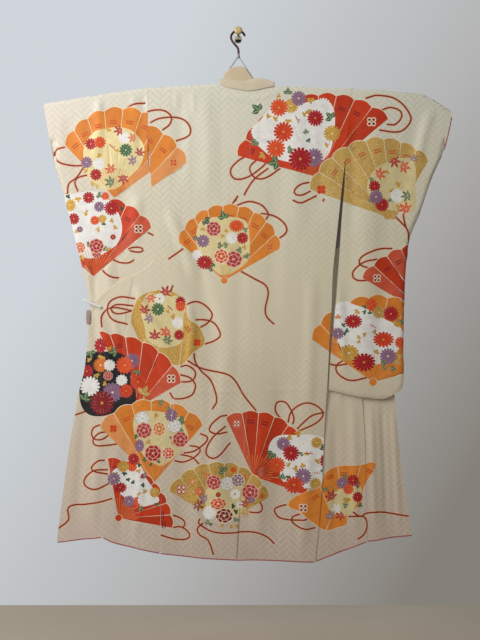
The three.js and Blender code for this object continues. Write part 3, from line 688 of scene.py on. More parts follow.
def design(panel):
    """Every outline of the design on one panel, in painting order: cords under the fans."""
    halos = []
    cords = []
    fans = [fan_on(fan, panel) for fan in FANS if panel not in fan.get("off", ())]
    for fan in fans:
        for points in fan["cords"]:
            halo, line = cord(points)
            halos += halo
            cords += line
    shapes = halos + cords
    for fan in fans:
        shapes += fan_shapes(fan)
    return shapes


RIGHT_INSIDE = ("front_right", "okumi_right")

# The fans, in painting order, with their places on a 5 mm step. A line of flowers holds the kind, the
# tint and, for each one, its place, its radius and, for some, how much it is flattened or drawn tall.
FANS = [
    {
        "name": "sleeve orange fan",
        "pivot": (-410, -535),
        "moved": {"back_left": (15, -45)},
        "radii": (235, 290, 275),
        "angles": (133, 35),
        "folds": 8,
        "leaf": "orange",
        "off": ("front_left",),
        "field": ("pale gold", (-510, -380), (-480, -325), (-440, -310), (-390, -305), (-345, -320),
                  (-310, -370), (-320, -425), (-350, -460), (-405, -505), (-450, -505), (-495, -470)),
        "crest": (-1, 14, "red dots"),
        "marks": (0, 1, 2, 3, 4, 5, 6),
        "ends": ((-1, "light orange"),),
        "rays": True,
        "flowers": (
            ("leaf", "gold", (-425, -310, 12), (-400, -385, 10), (-455, -400, 12)),
            ("leaf", "gold", (-500, -450, 12), (-485, -490, 12), (-470, -500, 10)),
            ("mum", "crimson", (-485, -360, 20), (-470, -460, 20)),
            ("mum", "flame", (-455, -355, 20)),
            ("mum", "white", (-375, -340, 20), (-460, -425, 20)),
            ("mum", "green", (-370, -380, 22)),
            ("mum", "mauve", (-500, -420, 20)),
            ("maple", "crimson", (-390, -315, 20), (-325, -390, 20), (-380, -470, 22)),
            ("maple", "flame", (-345, -340, 18), (-420, -445, 22)),
            ("maple", "mauve", (-345, -415, 20)),
            ("maple", "green", (-420, -485, 22)),
            ("twig", "crimson", (-415, -370, 15)),
        ),
        "cords": (
            ((-375, -250), (-345, -230), (-305, -225)),
            ((-310, -260), (-285, -250), (-245, -250), (-220, -270), (-225, -295), (-250, -315)),
            ((-290, -290), (-255, -275), (-190, -275), (-160, -300), (-160, -330), (-205, -350)),
            ((-570, -370), (-600, -380), (-605, -400), (-590, -420), (-550, -430), (-515, -430)),
            ((-510, -435), (-535, -470), (-560, -490), (-565, -525)),
            ((-495, -460), (-530, -470), (-540, -485), (-530, -515)),
        ),
    },
    {
        "name": "sleeve vermilion fan",
        "pivot": (-480, -795),
        "radii": (250, 260, 250),
        "angles": (140, 40),
        "folds": 8,
        "leaf": "vermilion",
        "off": ("front_left",),
        "field": ("white", (-590, -540), (-530, -520), (-470, -515), (-425, -545), (-395, -590),
                  (-385, -640), (-400, -685), (-430, -710), (-480, -735), (-520, -730), (-560, -700)),
        "crest": (-1, 16, "dark dots"),
        "marks": (6,),
        "ends": ((-1, "light red"),),
        "rays": True,
        "flowers": (
            ("leaf", "gold", (-530, -535, 15), (-500, -585, 15), (-460, -640, 12), (-415, -610, 12)),
            ("leaf", "gold", (-405, -630, 12), (-535, -650, 10), (-515, -730, 14)),
            ("leaf", "green", (-465, -525, 16), (-440, -710, 16)),
            ("leaf", "dark green", (-565, -535, 12), (-390, -570, 12), (-445, -625, 10), (-500, -690, 14)),
            ("mum", "gold", (-555, -560, 18, 1.2), (-450, -605, 15)),
            ("mum", "white", (-520, -570, 20)),
            ("mum", "flame", (-440, -530, 14), (-475, -610, 16)),
            ("mum", "mauve", (-460, -565, 18)),
            ("mum", "crimson", (-495, -535, 20), (-420, -570, 25), (-545, -605, 20)),
            ("daisy", "mauve", (-525, -640, 11)),
            ("daisy", "pink", (-415, -665, 10)),
            ("peony", "flame", (-525, -700, 20)),
            ("peony", "crimson", (-470, -720, 16), (-470, -695, 26)),
            ("leaf", "old gold", (-430, -700, 12)),
        ),
        "cords": (
            ((-300, -650), (-280, -660)),
            ((-365, -705), (-350, -700), (-325, -700), (-315, -710), (-335, -715), (-360, -710)),
            ((-415, -740), (-390, -750), (-360, -750), (-345, -740)),
            ((-450, -775), (-435, -790), (-410, -800), (-395, -800)),
        ),
    },
    {
        "name": "shoulder vermilion fan",
        "pivot": (265, -470),
        "radii": (275, 265, 300),
        "angles": (165, 40),
        "folds": 10,
        "leaf": "vermilion",
        "off": RIGHT_INSIDE,
        "field": ("white", (45, -325), (75, -280), (110, -240), (160, -220), (215, -225), (260, -215),
                  (305, -225), (320, -290), (300, -390), (255, -425), (170, -420), (100, -395)),
        "crest": (-1, 17, "dark dots"),
        "marks": (0, 7, 8),
        "rays": True,
        "flowers": (
            ("leaf", "gold", (130, -200, 12), (240, -210, 18), (230, -250, 16), (215, -265, 12)),
            ("leaf", "gold", (95, -270, 14), (120, -280, 14), (165, -280, 15), (85, -395, 18)),
            ("leaf", "gold", (290, -365, 12)),
            ("leaf", "green", (165, -195, 20), (70, -250, 28), (310, -275, 25), (60, -350, 20)),
            ("leaf", "green", (165, -380, 18), (225, -325, 14), (230, -345, 12)),
            ("leaf", "mauve", (100, -350, 8)),
            ("mum", "gold", (175, -235, 25), (310, -325, 28)),
            ("mum", "flame", (135, -240, 30), (125, -375, 32)),
            ("mum", "mauve", (200, -210, 26), (250, -405, 32)),
            ("mum", "white", (280, -235, 28), (100, -300, 27), (70, -320, 28)),
            ("mum", "vermilion", (150, -320, 34)),
            ("mum", "crimson", (255, -275, 28), (205, -410, 40)),
            ("leaf", "green", (130, -420, 30)),
            ("twig", "crimson", (195, -280, 14)),
        ),
        "cords": (
            ((35, -395), (-5, -420), (-25, -450), (-10, -475), (30, -470), (75, -440), (100, -415)),
            ((65, -410), (40, -435), (45, -460), (65, -475), (95, -470), (140, -440)),
            ((100, -440), (55, -475), (30, -510), (20, -530)),
            ((0, -530), (-10, -550)),
            ((420, -210), (460, -200), (525, -215), (570, -270), (560, -300), (530, -320), (465, -315)),
            ((470, -250), (505, -240), (540, -260), (520, -295), (490, -295)),
        ),
    },
    {
        "name": "shoulder gold fan",
        "pivot": (515, -610),
        "radii": (295, 275, 225),
        "angles": (160, 60),
        "folds": 8,
        "leaf": "gold cloth",
        "off": RIGHT_INSIDE,
        "field": ("pale gold", (445, -450), (490, -420), (540, -405), (580, -415), (585, -505), (580, -580),
                  (540, -580), (490, -575), (450, -550), (425, -510)),
        "crest_at": (275, -510, 16, "red petals"),
        "marks": (1, 2, 3, 4, 5, 6),
        "flecks": ((380, -480, 32), (305, -525, 26)),
        "flowers": (
            ("leaf", "green", (435, -480, 14), (440, -550, 15), (500, -540, 14)),
            ("leaf", "gold", (525, -495, 14), (505, -510, 12), (525, -570, 14), (495, -450, 10)),
            ("maple", "flame", (465, -460, 24), (545, -435, 24), (555, -575, 26)),
            ("maple", "crimson", (515, -415, 24)),
            ("maple", "mauve", (580, -410, 16)),
            ("mum", "white", (525, -530, 24)),
            ("mum", "crimson", (450, -500, 20), (475, -560, 24)),
            ("mum", "mauve", (455, -535, 24)),
            ("maple", "green", (560, -530, 22)),
            ("mum", "gold", (495, -595, 15)),
        ),
        "cords": (
            ((510, -590), (540, -620), (560, -645), (565, -690)),
            ((545, -590), (550, -620), (555, -635)),
            ((245, -485), (205, -495), (185, -520), (205, -530), (240, -515)),
            ((260, -530), (230, -545), (205, -555), (180, -545)),
            ((285, -540), (280, -550)),
        ),
    },
    {
        "name": "back orange fan",
        "pivot": (-45, -810),
        "radii": (195, 245, 210),
        "angles": (140, 30),
        "folds": 9,
        "leaf": "orange",
        "disc": 11,
        "field": ("pale gold", (-130, -625), (-100, -605), (-40, -600), (20, -610), (35, -640), (35, -740),
                  (5, -770), (-30, -790), (-60, -790), (-90, -765), (-135, -700)),
        "crest": (-1, 12, "red dots"),
        "marks": (0, 1, 4, 5, 6, 7),
        "flowers": (
            ("leaf", "dark green", (-110, -610, 22), (-140, -675, 14), (-95, -775, 16)),
            ("leaf", "green", (-45, -605, 25), (-65, -695, 16), (-45, -695, 14), (10, -710, 16)),
            ("leaf", "green", (25, -725, 16), (20, -645, 14), (-80, -755, 12)),
            ("leaf", "gold", (-115, -645, 12), (-40, -650, 10), (-50, -660, 10), (25, -700, 12)),
            ("peony", "pink", (-80, -640, 26), (-15, -740, 32, 0.9)),
            ("mum", "flame", (-5, -630, 26, 0.8)),
            ("mum", "white", (-20, -670, 20), (-135, -725, 18)),
            ("mum", "crimson", (15, -670, 20), (-110, -750, 28, 0.85)),
            ("mum", "mauve", (-115, -680, 22)),
            ("peony", "flame", (-55, -730, 26)),
            ("peony", "pale gold", (-40, -775, 16)),
        ),
        "cords": (
            ((-180, -705), (-230, -740)),
            ((-20, -560), (0, -530)),
            ((20, -530), (30, -510)),
            ((-10, -565), (35, -550), (75, -560), (95, -580), (100, -595), (90, -610)),
            ((50, -595), (85, -590), (125, -600), (155, -625), (160, -650), (130, -675)),
            ((10, -780), (55, -805), (90, -825), (100, -850), (90, -905), (95, -930), (120, -955)),
            ((-215, -825), (-225, -850)),
        ),
    },
    {
        "name": "bent gold fan",
        "leaf": "old gold",
        "outline": ((-320, -860), (-335, -875), (-355, -940), (-340, -980), (-320, -1020), (-275, -1055),
                    (-195, -1090), (-145, -1045), (-115, -1025), (-110, -1005), (-130, -960), (-160, -940),
                    (-170, -915), (-170, -890), (-210, -850), (-280, -845)),
        "pleats": (((-300, -1005), (-320, -1020)), ((-260, -1030), (-275, -1055)),
                   ((-185, -1010), (-195, -1090))),
        "field": ("pale gold", (-305, -860), (-265, -850), (-210, -855), (-175, -890), (-180, -935),
                  (-185, -1010), (-220, -1030), (-260, -1030), (-300, -1005), (-310, -960), (-320, -920)),
        "crest_at": (-135, -1015, 13, "red petals"),
        "bars": ((-165, -970, 30),),
        "flowers": (
            ("leaf", "gold", (-270, -845, 14), (-215, -860, 14), (-235, -915, 10), (-210, -930, 14)),
            ("daisy", "white", (-260, -870, 18)),
            ("mum", "white", (-200, -950, 20)),
            ("maple", "flame", (-290, -865, 20), (-235, -980, 24)),
            ("maple", "crimson", (-240, -850, 24), (-310, -910, 22), (-275, -995, 24)),
            ("mum", "crimson", (-190, -880, 18), (-195, -990, 18)),
            ("mum", "flame", (-190, -895, 18)),
            ("maple", "mauve", (-290, -935, 20)),
            ("mum", "green", (-265, -905, 22)),
            ("maple", "green", (-235, -1010, 20)),
            ("twig", "crimson", (-225, -900, 12)),
        ),
        "cords": (
            ((-340, -870), (-395, -865), (-430, -890), (-420, -935), (-365, -955)),
            ((-335, -895), (-405, -890), (-420, -905), (-400, -920), (-350, -910)),
            ((-350, -910), (-420, -900), (-450, -925), (-450, -965)),
            ((-170, -890), (-145, -880), (-120, -885), (-95, -905), (-85, -925), (-100, -950), (-125, -965)),
            ((-140, -940), (-110, -940), (-80, -950), (-60, -980), (-60, -995), (-80, -1010), (-110, -1020)),
            ((-145, -1050), (-140, -1080), (-120, -1110), (-90, -1140), (-70, -1205), (-85, -1235)),
            ((-180, -1065), (-120, -1100), (-35, -1120), (-10, -1140), (20, -1190), (60, -1240)),
        ),
    },
    {
        "name": "black field fan",
        "pivot": (-340, -1235),
        "radii": (280, 220, 175),
        "angles": (115, 30),
        "crowding": 1.45,
        "folds": 6,
        "leaf": "vermilion",
        "field": ("black", (-505, -1060), (-440, -1045), (-380, -1055), (-350, -1090), (-355, -1130),
                  (-340, -1170), (-340, -1215), (-375, -1225), (-430, -1255), (-500, -1250), (-525, -1190)),
        "crest": (-1, 16, "dark dots"),
        "marks": (1,),
        "ends": ((-1, "light red"),),
        "flowers": (
            ("mum", "crimson", (-455, -1025, 22, 1.2), (-500, -1110, 22)),
            ("leaf", "green", (-490, -1045, 22), (-405, -1045, 22), (-330, -1110, 20)),
            ("leaf", "gold", (-420, -1035, 12), (-450, -1060, 18), (-470, -1120, 14), (-490, -1075, 12)),
            ("leaf", "gold", (-445, -1150, 12)),
            ("mum", "amber", (-455, -1090, 25)),
            ("mum", "white", (-425, -1090, 20), (-385, -1140, 20)),
            ("mum", "mauve", (-350, -1075, 26), (-415, -1180, 34)),
            ("mum", "flame", (-375, -1090, 30)),
            ("peony", "pink", (-430, -1125, 16)),
            ("mum", "vermilion", (-330, -1145, 28), (-370, -1175, 24)),
            ("mum", "white", (-490, -1160, 34)),
            ("leaf", "old gold", (-315, -1185, 28), (-310, -1215, 22)),
            ("leaf", "green", (-510, -1205, 26)),
            ("mum", "dark red", (-450, -1215, 42)),
        ),
        "cords": (
            ((-190, -1095), (-170, -1090), (-150, -1100), (-140, -1115), (-150, -1140), (-200, -1145)),
            ((-195, -1120), (-160, -1130), (-145, -1145), (-140, -1160), (-155, -1190), (-210, -1200),
             (-225, -1180)),
            ((-540, -1255), (-495, -1240)),
        ),
    },
    {
        "name": "peony fan",
        "pivot": (-275, -1475),
        "radii": (255, 265, 245),
        "angles": (135, 50),
        "folds": 6,
        "leaf": "orange",
        "field": ("pale gold", (-340, -1255), (-290, -1240), (-195, -1260), (-175, -1290), (-165, -1340),
                  (-210, -1395), (-250, -1420), (-275, -1415), (-310, -1390), (-340, -1325)),
        "crest": (0, 14, "red petals"),
        "marks": (1, 5),
        "ends": ((0, "light orange"),),
        "rays": True,
        "flowers": (
            ("leaf", "green", (-250, -1215, 16), (-235, -1235, 15), (-180, -1270, 20), (-185, -1300, 14)),
            ("leaf", "green", (-340, -1325, 12), (-305, -1400, 12), (-290, -1415, 10), (-265, -1410, 12)),
            ("leaf", "gold", (-275, -1255, 14), (-275, -1225, 10), (-300, -1340, 14), (-215, -1350, 12)),
            ("leaf", "mauve", (-225, -1330, 8)),
            ("peony", "white", (-315, -1265, 24), (-210, -1290, 24)),
            ("mum", "mauve", (-220, -1255, 22), (-325, -1355, 17, 1.3)),
            ("peony", "pink", (-310, -1305, 28), (-190, -1335, 28)),
            ("peony", "amber", (-260, -1300, 22, 1.15)),
            ("peony", "crimson", (-280, -1380, 30)),
            ("peony", "flame", (-230, -1380, 22)),
        ),
        "cords": (
            ((-450, -1285), (-480, -1300), (-480, -1330), (-450, -1335), (-420, -1315)),
            ((-435, -1310), (-460, -1315), (-480, -1340), (-470, -1355), (-400, -1350), (-380, -1340)),
            ((-125, -1315), (-100, -1330), (-125, -1360), (-150, -1375), (-180, -1380)),
            ((-160, -1355), (-125, -1365), (-140, -1390), (-180, -1410), (-210, -1405)),
            ((-190, -1385), (-150, -1395), (-120, -1425)),
        ),
    },
    {
        "name": "hem vermilion fan",
        "pivot": (-395, -1595),
        "radii": (200, 165, 180),
        "angles": (100, -10),
        "folds": 8,
        "leaf": "vermilion",
        "disc": 11,
        "field": ("white", (-410, -1435), (-340, -1420), (-320, -1425), (-305, -1460), (-260, -1535),
                  (-285, -1550), (-325, -1555), (-385, -1520), (-400, -1500), (-415, -1470)),
        "marks": (0,),
        "bars": ((-250, -1585, 0), (-245, -1615, 0)),
        "rays": True,
        "flowers": (
            ("leaf", "gold", (-330, -1435, 12), (-400, -1450, 10), (-330, -1510, 12), (-305, -1510, 12)),
            ("leaf", "dark green", (-375, -1445, 12), (-365, -1465, 11), (-350, -1475, 11)),
            ("leaf", "dark green", (-425, -1470, 11), (-310, -1485, 11), (-330, -1420, 11)),
            ("leaf", "green", (-325, -1560, 14), (-270, -1545, 12)),
            ("mum", "flame", (-350, -1425, 18), (-330, -1540, 18)),
            ("mum", "gold", (-380, -1425, 20), (-275, -1510, 18)),
            ("mum", "crimson", (-345, -1400, 20), (-390, -1495, 23, 0.8)),
            ("mum", "mauve", (-410, -1465, 22), (-360, -1540, 20)),
            ("mum", "white", (-345, -1500, 20), (-310, -1535, 22)),
            ("leaf", "mauve", (-305, -1455, 16)),
            ("leaf", "crimson", (-320, -1455, 10)),
        ),
        "cords": (
            ((-440, -1405), (-460, -1405), (-485, -1430), (-475, -1440), (-430, -1450)),
            ((-430, -1435), (-480, -1440), (-510, -1480), (-475, -1500), (-425, -1480)),
            ((-415, -1530), (-450, -1540), (-505, -1550), (-560, -1560), (-560, -1600), (-595, -1630)),
            ((-215, -1585), (-190, -1595), (-175, -1610), (-180, -1625)),
            ((-215, -1625), (-185, -1625), (-160, -1655), (-200, -1665), (-255, -1650)),
        ),
    },
    {
        "name": "centre vermilion fan",
        "pivot": (50, -1455),
        "radii": (210, 200, 175),
        "angles": (115, -20),
        "folds": 9,
        "leaf": "vermilion",
        "off": RIGHT_INSIDE,
        "field": ("white", (120, -1330), (185, -1320), (280, -1330), (300, -1400), (280, -1470),
                  (220, -1495), (150, -1475), (130, -1410), (100, -1380)),
        "crest": (0, 13, "crimson dots"),
        "marks": (1, 2),
        "ends": ((0, "light red"),),
        "rays": True,
        "flowers": (
            ("leaf", "gold", (165, -1325, 16), (205, -1315, 18), (195, -1430, 15), (215, -1425, 14)),
            ("leaf", "gold", (170, -1420, 12), (260, -1410, 14), (225, -1385, 12)),
            ("leaf", "green", (115, -1380, 24), (145, -1465, 18), (165, -1455, 12), (205, -1385, 14)),
            ("leaf", "dark green", (285, -1365, 18), (285, -1440, 16)),
            ("mum", "mauve", (150, -1350, 24), (215, -1455, 28)),
            ("mum", "gold", (260, -1345, 20), (255, -1480, 20)),
            ("mum", "white", (215, -1350, 28), (255, -1380, 20), (235, -1410, 16)),
            ("mum", "crimson", (175, -1380, 28), (285, -1405, 15, 1.6)),
            ("mum", "flame", (130, -1420, 28)),
            ("mum", "vermilion", (185, -1485, 34, 0.85)),
            ("twig", "crimson", (235, -1380, 12)),
            ("twig", "amber", (260, -1445, 12)),
        ),
        "cords": (
            ((-35, -1255), (-60, -1260), (-95, -1300), (-75, -1315), (-35, -1310)),
            ((-40, -1290), (-85, -1330), (-105, -1380), (-75, -1395), (-25, -1345)),
            ((150, -1275), (125, -1245), (125, -1220), (135, -1210), (160, -1215), (185, -1265),
             (180, -1285)),
            ((165, -1280), (175, -1245), (205, -1220), (240, -1215), (280, -1245), (265, -1275),
             (205, -1305)),
            ((195, -1300), (220, -1275), (245, -1255), (285, -1245)),
        ),
    },
    {
        "name": "hem gold fan",
        "pivot": (-45, -1610),
        "radii": (210, 195, 170),
        "angles": (150, 30),
        "folds": 8,
        "leaf": "old gold",
        "field": ("pale gold", (-100, -1495), (-40, -1460), (20, -1495), (20, -1545), (25, -1575),
                  (-35, -1595), (-90, -1580), (-110, -1535)),
        "crest": (0, 18, "crimson dots"),
        "flowers": (
            ("leaf", "green", (-45, -1440, 22), (-105, -1605, 14), (-90, -1610, 10), (-5, -1595, 14)),
            ("mum", "flame", (-15, -1435, 10)),
            ("mum", "amber", (20, -1460, 11)),
            ("leaf", "flame", (-105, -1455, 14), (75, -1520, 12)),
            ("maple", "amber", (-150, -1475, 16)),
            ("maple", "flame", (-125, -1505, 20)),
            ("maple", "mauve", (-110, -1530, 20)),
            ("maple", "dark red", (-135, -1550, 22)),
            ("peony", "white", (-35, -1480, 24)),
            ("peony", "pink", (-80, -1475, 26), (40, -1510, 30)),
            ("peony", "mauve", (0, -1470, 23)),
            ("daisy", "white", (-10, -1515, 18), (5, -1550, 12)),
            ("daisy", "crimson", (-65, -1515, 9)),
            ("mum", "white", (-95, -1575, 24)),
            ("peony", "flame", (-65, -1545, 30, 0.7)),
            ("peony", "dark red", (-45, -1585, 32, 0.85)),
            ("leaf", "dark green", (-20, -1555, 12), (-10, -1575, 12)),
            ("mum", "mauve", (45, -1535, 12)),
            ("maple", "crimson", (25, -1550, 18)),
            ("maple", "gold", (25, -1575, 18)),
            ("leaf", "gold", (-50, -1620, 10), (-25, -1620, 10), (0, -1620, 12)),
        ),
        "cords": (
            ((-125, -1595), (-130, -1610), (-75, -1640), (40, -1640), (70, -1645), (100, -1660),
             (120, -1680)),
            ((-115, -1610), (-135, -1630), (-125, -1650), (-100, -1665), (-80, -1715)),
            ((60, -1535), (75, -1545), (80, -1565), (70, -1575), (35, -1575)),
        ),
    },
    {
        "name": "side bent fan",
        "leaf": "orange",
        "outline": ((165, -1550), (215, -1510), (270, -1490), (290, -1445), (330, -1425), (405, -1420),
                    (450, -1410), (455, -1420), (415, -1495), (405, -1545), (360, -1590), (360, -1615),
                    (335, -1625), (290, -1635), (255, -1615), (200, -1570)),
        "pleats": (((270, -1490), (295, -1550)), ((315, -1580), (290, -1635)), ((330, -1425), (340, -1500)),
                   ((405, -1420), (390, -1480))),
        "field": ("pale gold", (295, -1550), (315, -1510), (340, -1500), (390, -1480), (410, -1505),
                  (390, -1550), (365, -1585), (315, -1580)),
        "crest_at": (215, -1560, 16, "dark dots"),
        "bars": ((305, -1460, 110), (255, -1525, 130), (350, -1450, 90), (435, -1440, 60)),
        "flowers": (
            ("leaf", "green", (290, -1505, 14), (350, -1460, 14), (350, -1555, 14), (400, -1550, 12)),
            ("leaf", "gold", (325, -1500, 12), (360, -1530, 18)),
            ("mum", "mauve", (345, -1480, 20)),
            ("mum", "crimson", (380, -1470, 20), (395, -1525, 18)),
            ("mum", "flame", (365, -1500, 18)),
            ("leaf", "dark red", (400, -1485, 16)),
            ("maple", "crimson", (310, -1525, 24), (340, -1585, 20)),
            ("maple", "white", (330, -1565, 22)),
            ("maple", "mauve", (305, -1590, 20)),
        ),
        "cords": (
            ((160, -1550), (130, -1560), (120, -1570), (140, -1595), (215, -1600), (230, -1595)),
            ((205, -1580), (180, -1590), (175, -1600), (195, -1620), (225, -1630), (255, -1625)),
            ((365, -1590), (415, -1590), (425, -1605), (425, -1630), (415, -1650), (395, -1665)),
            ((375, -1570), (405, -1590), (420, -1580), (465, -1575), (505, -1580), (565, -1590)),
        ),
    },
    {
        "name": "cut vermilion fan",
        "pivot": (640, -935),
        "radii": (265, 250, 245),
        "angles": (150, 90),
        "folds": 5,
        "leaf": "vermilion",
        "off": RIGHT_INSIDE,
        "crest": (0, 15, "dark dots"),
        "marks": (1, 2),
        "ends": ((0, "light red"), (2, "light red")),
        "cords": (
            ((510, -705), (475, -705), (440, -715), (405, -735), (400, -755), (430, -770)),
            ((460, -740), (415, -750), (380, -780), (380, -800), (395, -810), (425, -810)),
        ),
    },
    {
        "name": "sleeve foot fan",
        "pivot": (445, -1145),
        "radii": (245, 280, 260),
        "angles": (145, 15),
        "folds": 10,
        "leaf": "orange",
        "off": RIGHT_INSIDE,
        "disc": 13,
        "field": ("white", (325, -890), (400, -895), (480, -935), (545, -980), (520, -1050), (445, -1090),
                  (370, -1065), (325, -1000)),
        "rays": True,
        "flowers": (
            ("leaf", "green", (415, -900, 11), (420, -915, 11), (435, -920, 11), (535, -950, 15)),
            ("leaf", "green", (345, -960, 11), (355, -975, 12), (355, -985, 10)),
            ("leaf", "amber", (330, -935, 14), (320, -1015, 15)),
            ("leaf", "gold", (395, -910, 14), (520, -960, 18), (455, -980, 12), (400, -995, 11)),
            ("leaf", "gold", (420, -990, 11), (395, -1010, 10), (455, -1050, 14)),
            ("leaf", "old gold", (535, -1055, 16), (525, -1085, 18)),
            ("mum", "white", (355, -905, 28), (525, -980, 18), (425, -1025, 26)),
            ("mum", "flame", (440, -890, 20, 1.15), (535, -1015, 18, 1.1)),
            ("mum", "old gold", (465, -915, 22)),
            ("mum", "crimson", (505, -920, 26), (380, -945, 30, 0.8)),
            ("mum", "mauve", (330, -985, 20), (495, -1060, 28)),
            ("mum", "vermilion", (480, -1005, 36, 0.75)),
            ("mum", "gold", (365, -1050, 35, 0.85)),
            ("mum", "crimson", (415, -1080, 40, 0.78)),
            ("leaf", "green", (475, -1085, 16), (505, -1100, 16), (485, -1095, 13)),
            ("twig", "flame", (445, -960, 12)),
            ("twig", "dark red", (335, -1030, 13)),
        ),
        "cords": (
            ((300, -1045), (315, -1040)),
            ((300, -1085), (325, -1090), (360, -1085)),
            ((345, -1075), (325, -1090), (325, -1110), (345, -1130), (375, -1140), (425, -1130)),
        ),
    },
]

# ---- the cloth: each panel's outline and depth come from the frame ----

BAR_Y = -31 * MM  # axis of the hanger's bar
BEND = 10.3 * MM  # outside of the cloth's bend over it
PAST_RIDGE = 15 * MM  # how far a width runs on, over the bar and down on the wall side
CLOTH = 1.8 * MM
GRID = 6.5 * MM


def node_tree(*names):
    """The named CAD nodes as one search tree, with their loose triangles joined."""
    mesh = bmesh.new()
    for name in names:
        mesh.from_mesh(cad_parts[name].data)
    bmesh.ops.remove_doubles(mesh, verts=mesh.verts, dist=2e-5)
    return mesh, BVHTree.FromBMesh(mesh)


def skin_line(name, side):
    """The closed outline, as (x, z), of what shows of a node from one side."""
    mesh, tree = node_tree(name)
    way = Vector((0, side, 0))
    seen = set()
    for face in mesh.faces:
        if face.normal.y * side > 0.2:
            if tree.ray_cast(face.calc_center_median() + way * 1e-4, way)[0] is None:
                seen.add(face)
    following = {}
    for face in seen:
        for loop in face.loops:
            if sum(f in seen for f in loop.edge.link_faces) == 1:
                following[loop.vert] = loop.link_loop_next.vert
    loops = []
    while following:
        start, here = following.popitem()
        line = [start]
        while here in following:
            line.append(here)
            here = following.pop(here)
        loops.append([(v.co.x, v.co.z) for v in line])
    mesh.free()
    longest = max(loops, key=len)
    return longest if side < 0 else longest[::-1]


TOP_TREE = node_tree("shoulder_left", "shoulder_right", "sleeve_left", "sleeve_right")[1]


def ridge(x):
    """Height of the cloth's top line over the bar, or nothing between the shoulders."""
    hit = TOP_TREE.ray_cast(Vector((x, BAR_Y, 0.1)), Vector((0, 0, -1)))[0]
    return hit.z if hit and hit.z > -0.27 else None


def ridge_table():
    xs = np.arange(-0.66, 0.72, 0.004)
    heights = [ridge(float(x)) for x in xs]
    known = [(x, z) for x, z in zip(xs, heights) if z is not None]
    return np.array([x for x, _ in known]), np.array([z for _, z in known])


RIDGE_X, RIDGE_Z = ridge_table()


def top_line(x):
    return np.interp(x, RIDGE_X, RIDGE_Z)


def eased_outline(points, step=8 * MM, corner=math.radians(30)):
    """The outline with smooth stretches between its true corners."""
    points = [p for i, p in enumerate(points) if math.dist(p, points[i - 1]) > 0.4 * MM]
    count = len(points)

    def bend(i):
        a, b, c = points[i - 1], points[i], points[(i + 1) % count]
        first = math.atan2(b[1] - a[1], b[0] - a[0])
        second = math.atan2(c[1] - b[1], c[0] - b[0])
        return abs((second - first + math.pi) % (2 * math.pi) - math.pi)

    sharp = [bend(i) > corner for i in range(count)]
    line = []
    for i in range(count):
        j = (i + 1) % count
        a, b = points[i], points[j]
        chord = math.dist(a, b)
        leave = tangent(a if sharp[i] else points[i - 1], b, chord)
        arrive = tangent(a, b if sharp[j] else points[(j + 1) % count], chord)
        pieces = max(1, round(chord / step))
        for k in range(pieces):
            line.append(hermite(a, b, leave, arrive, k / pieces))
    return line


def blurred(values, known, reach):
    """A soft average of the known cells of a grid; reach is in cells."""
    span = int(3 * reach)
    kernel = np.exp(-0.5 * (np.arange(-span, span + 1) / reach) ** 2)

    def soft(line):
        return np.convolve(line, kernel)[span : span + len(line)]

    total, weight = values * known, known.astype(float)
    for axis in (0, 1):
        total = np.apply_along_axis(soft, axis, total)
        weight = np.apply_along_axis(soft, axis, weight)
    return total / np.maximum(weight, 1e-9), weight > 1e-6


class DepthMap:
    """How far one side of a node stands from the wall, smoothed over its flat facets."""

    def __init__(self, node, side, pitch=7 * MM):
        _, tree = node_tree(node)
        low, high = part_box(node)
        margin = 0.05
        self.x0, self.z0, self.pitch = low.x - margin, low.z - margin, pitch
        columns = int((high.x - low.x + 2 * margin) / pitch) + 2
        rows = int((high.z - low.z + 2 * margin) / pitch) + 2
        values = np.zeros((rows, columns))
        known = np.zeros((rows, columns), bool)
        for r in range(rows):
            for c in range(columns):
                x, z = self.x0 + c * pitch, self.z0 + r * pitch
                if z > top_line(x) - 16 * MM:
                    continue
                hit = tree.ray_cast(Vector((x, side, z)), Vector((0, -side, 0)))[0]
                if hit:
                    values[r, c] = hit.y
                    known[r, c] = True
        soft, reached = blurred(values, known, 2.6)
        wide, _ = blurred(values, known, 9)
        self.values = np.where(reached, soft, wide)

    def at(self, x, z):
        rows, columns = self.values.shape
        c = np.clip((x - self.x0) / self.pitch, 0, columns - 1.001)
        r = np.clip((z - self.z0) / self.pitch, 0, rows - 1.001)
        ci, ri = c.astype(int), r.astype(int)
        fc, fr = c - ci, r - ri
        v = self.values
        low = v[ri, ci] * (1 - fc) + v[ri, ci + 1] * fc
        high = v[ri + 1, ci] * (1 - fc) + v[ri + 1, ci + 1] * fc
        return low * (1 - fr) + high * fr


def distance_to(line, x, z):
    """Distance from many points to a line through a few, and the share of the line's run there."""
    best = np.full(len(x), 1e9)
    share = np.zeros(len(x))
    lengths = [math.dist(a, b) for a, b in zip(line, line[1:])]
    run, total = 0.0, sum(lengths)
    for (ax, az), (bx, bz), length in zip(line, line[1:], lengths):
        ux, uz = (bx - ax) / length, (bz - az) / length
        t = np.clip((x - ax) * ux + (z - az) * uz, 0, length)
        d = np.hypot(x - ax - ux * t, z - az - uz * t)
        nearer = d < best
        best = np.where(nearer, d, best)
        share = np.where(nearer, (run + t) / total, share)
        run += length
    return best, share


def smooth_step(value, low, high):
    t = np.clip((value - low) / (high - low), 0, 1)
    return t * t * (3 - 2 * t)


RIDGE_GAIN = 1.5  # wide ridges stand out more than troughs sink in
WIDE_FOLD = 24


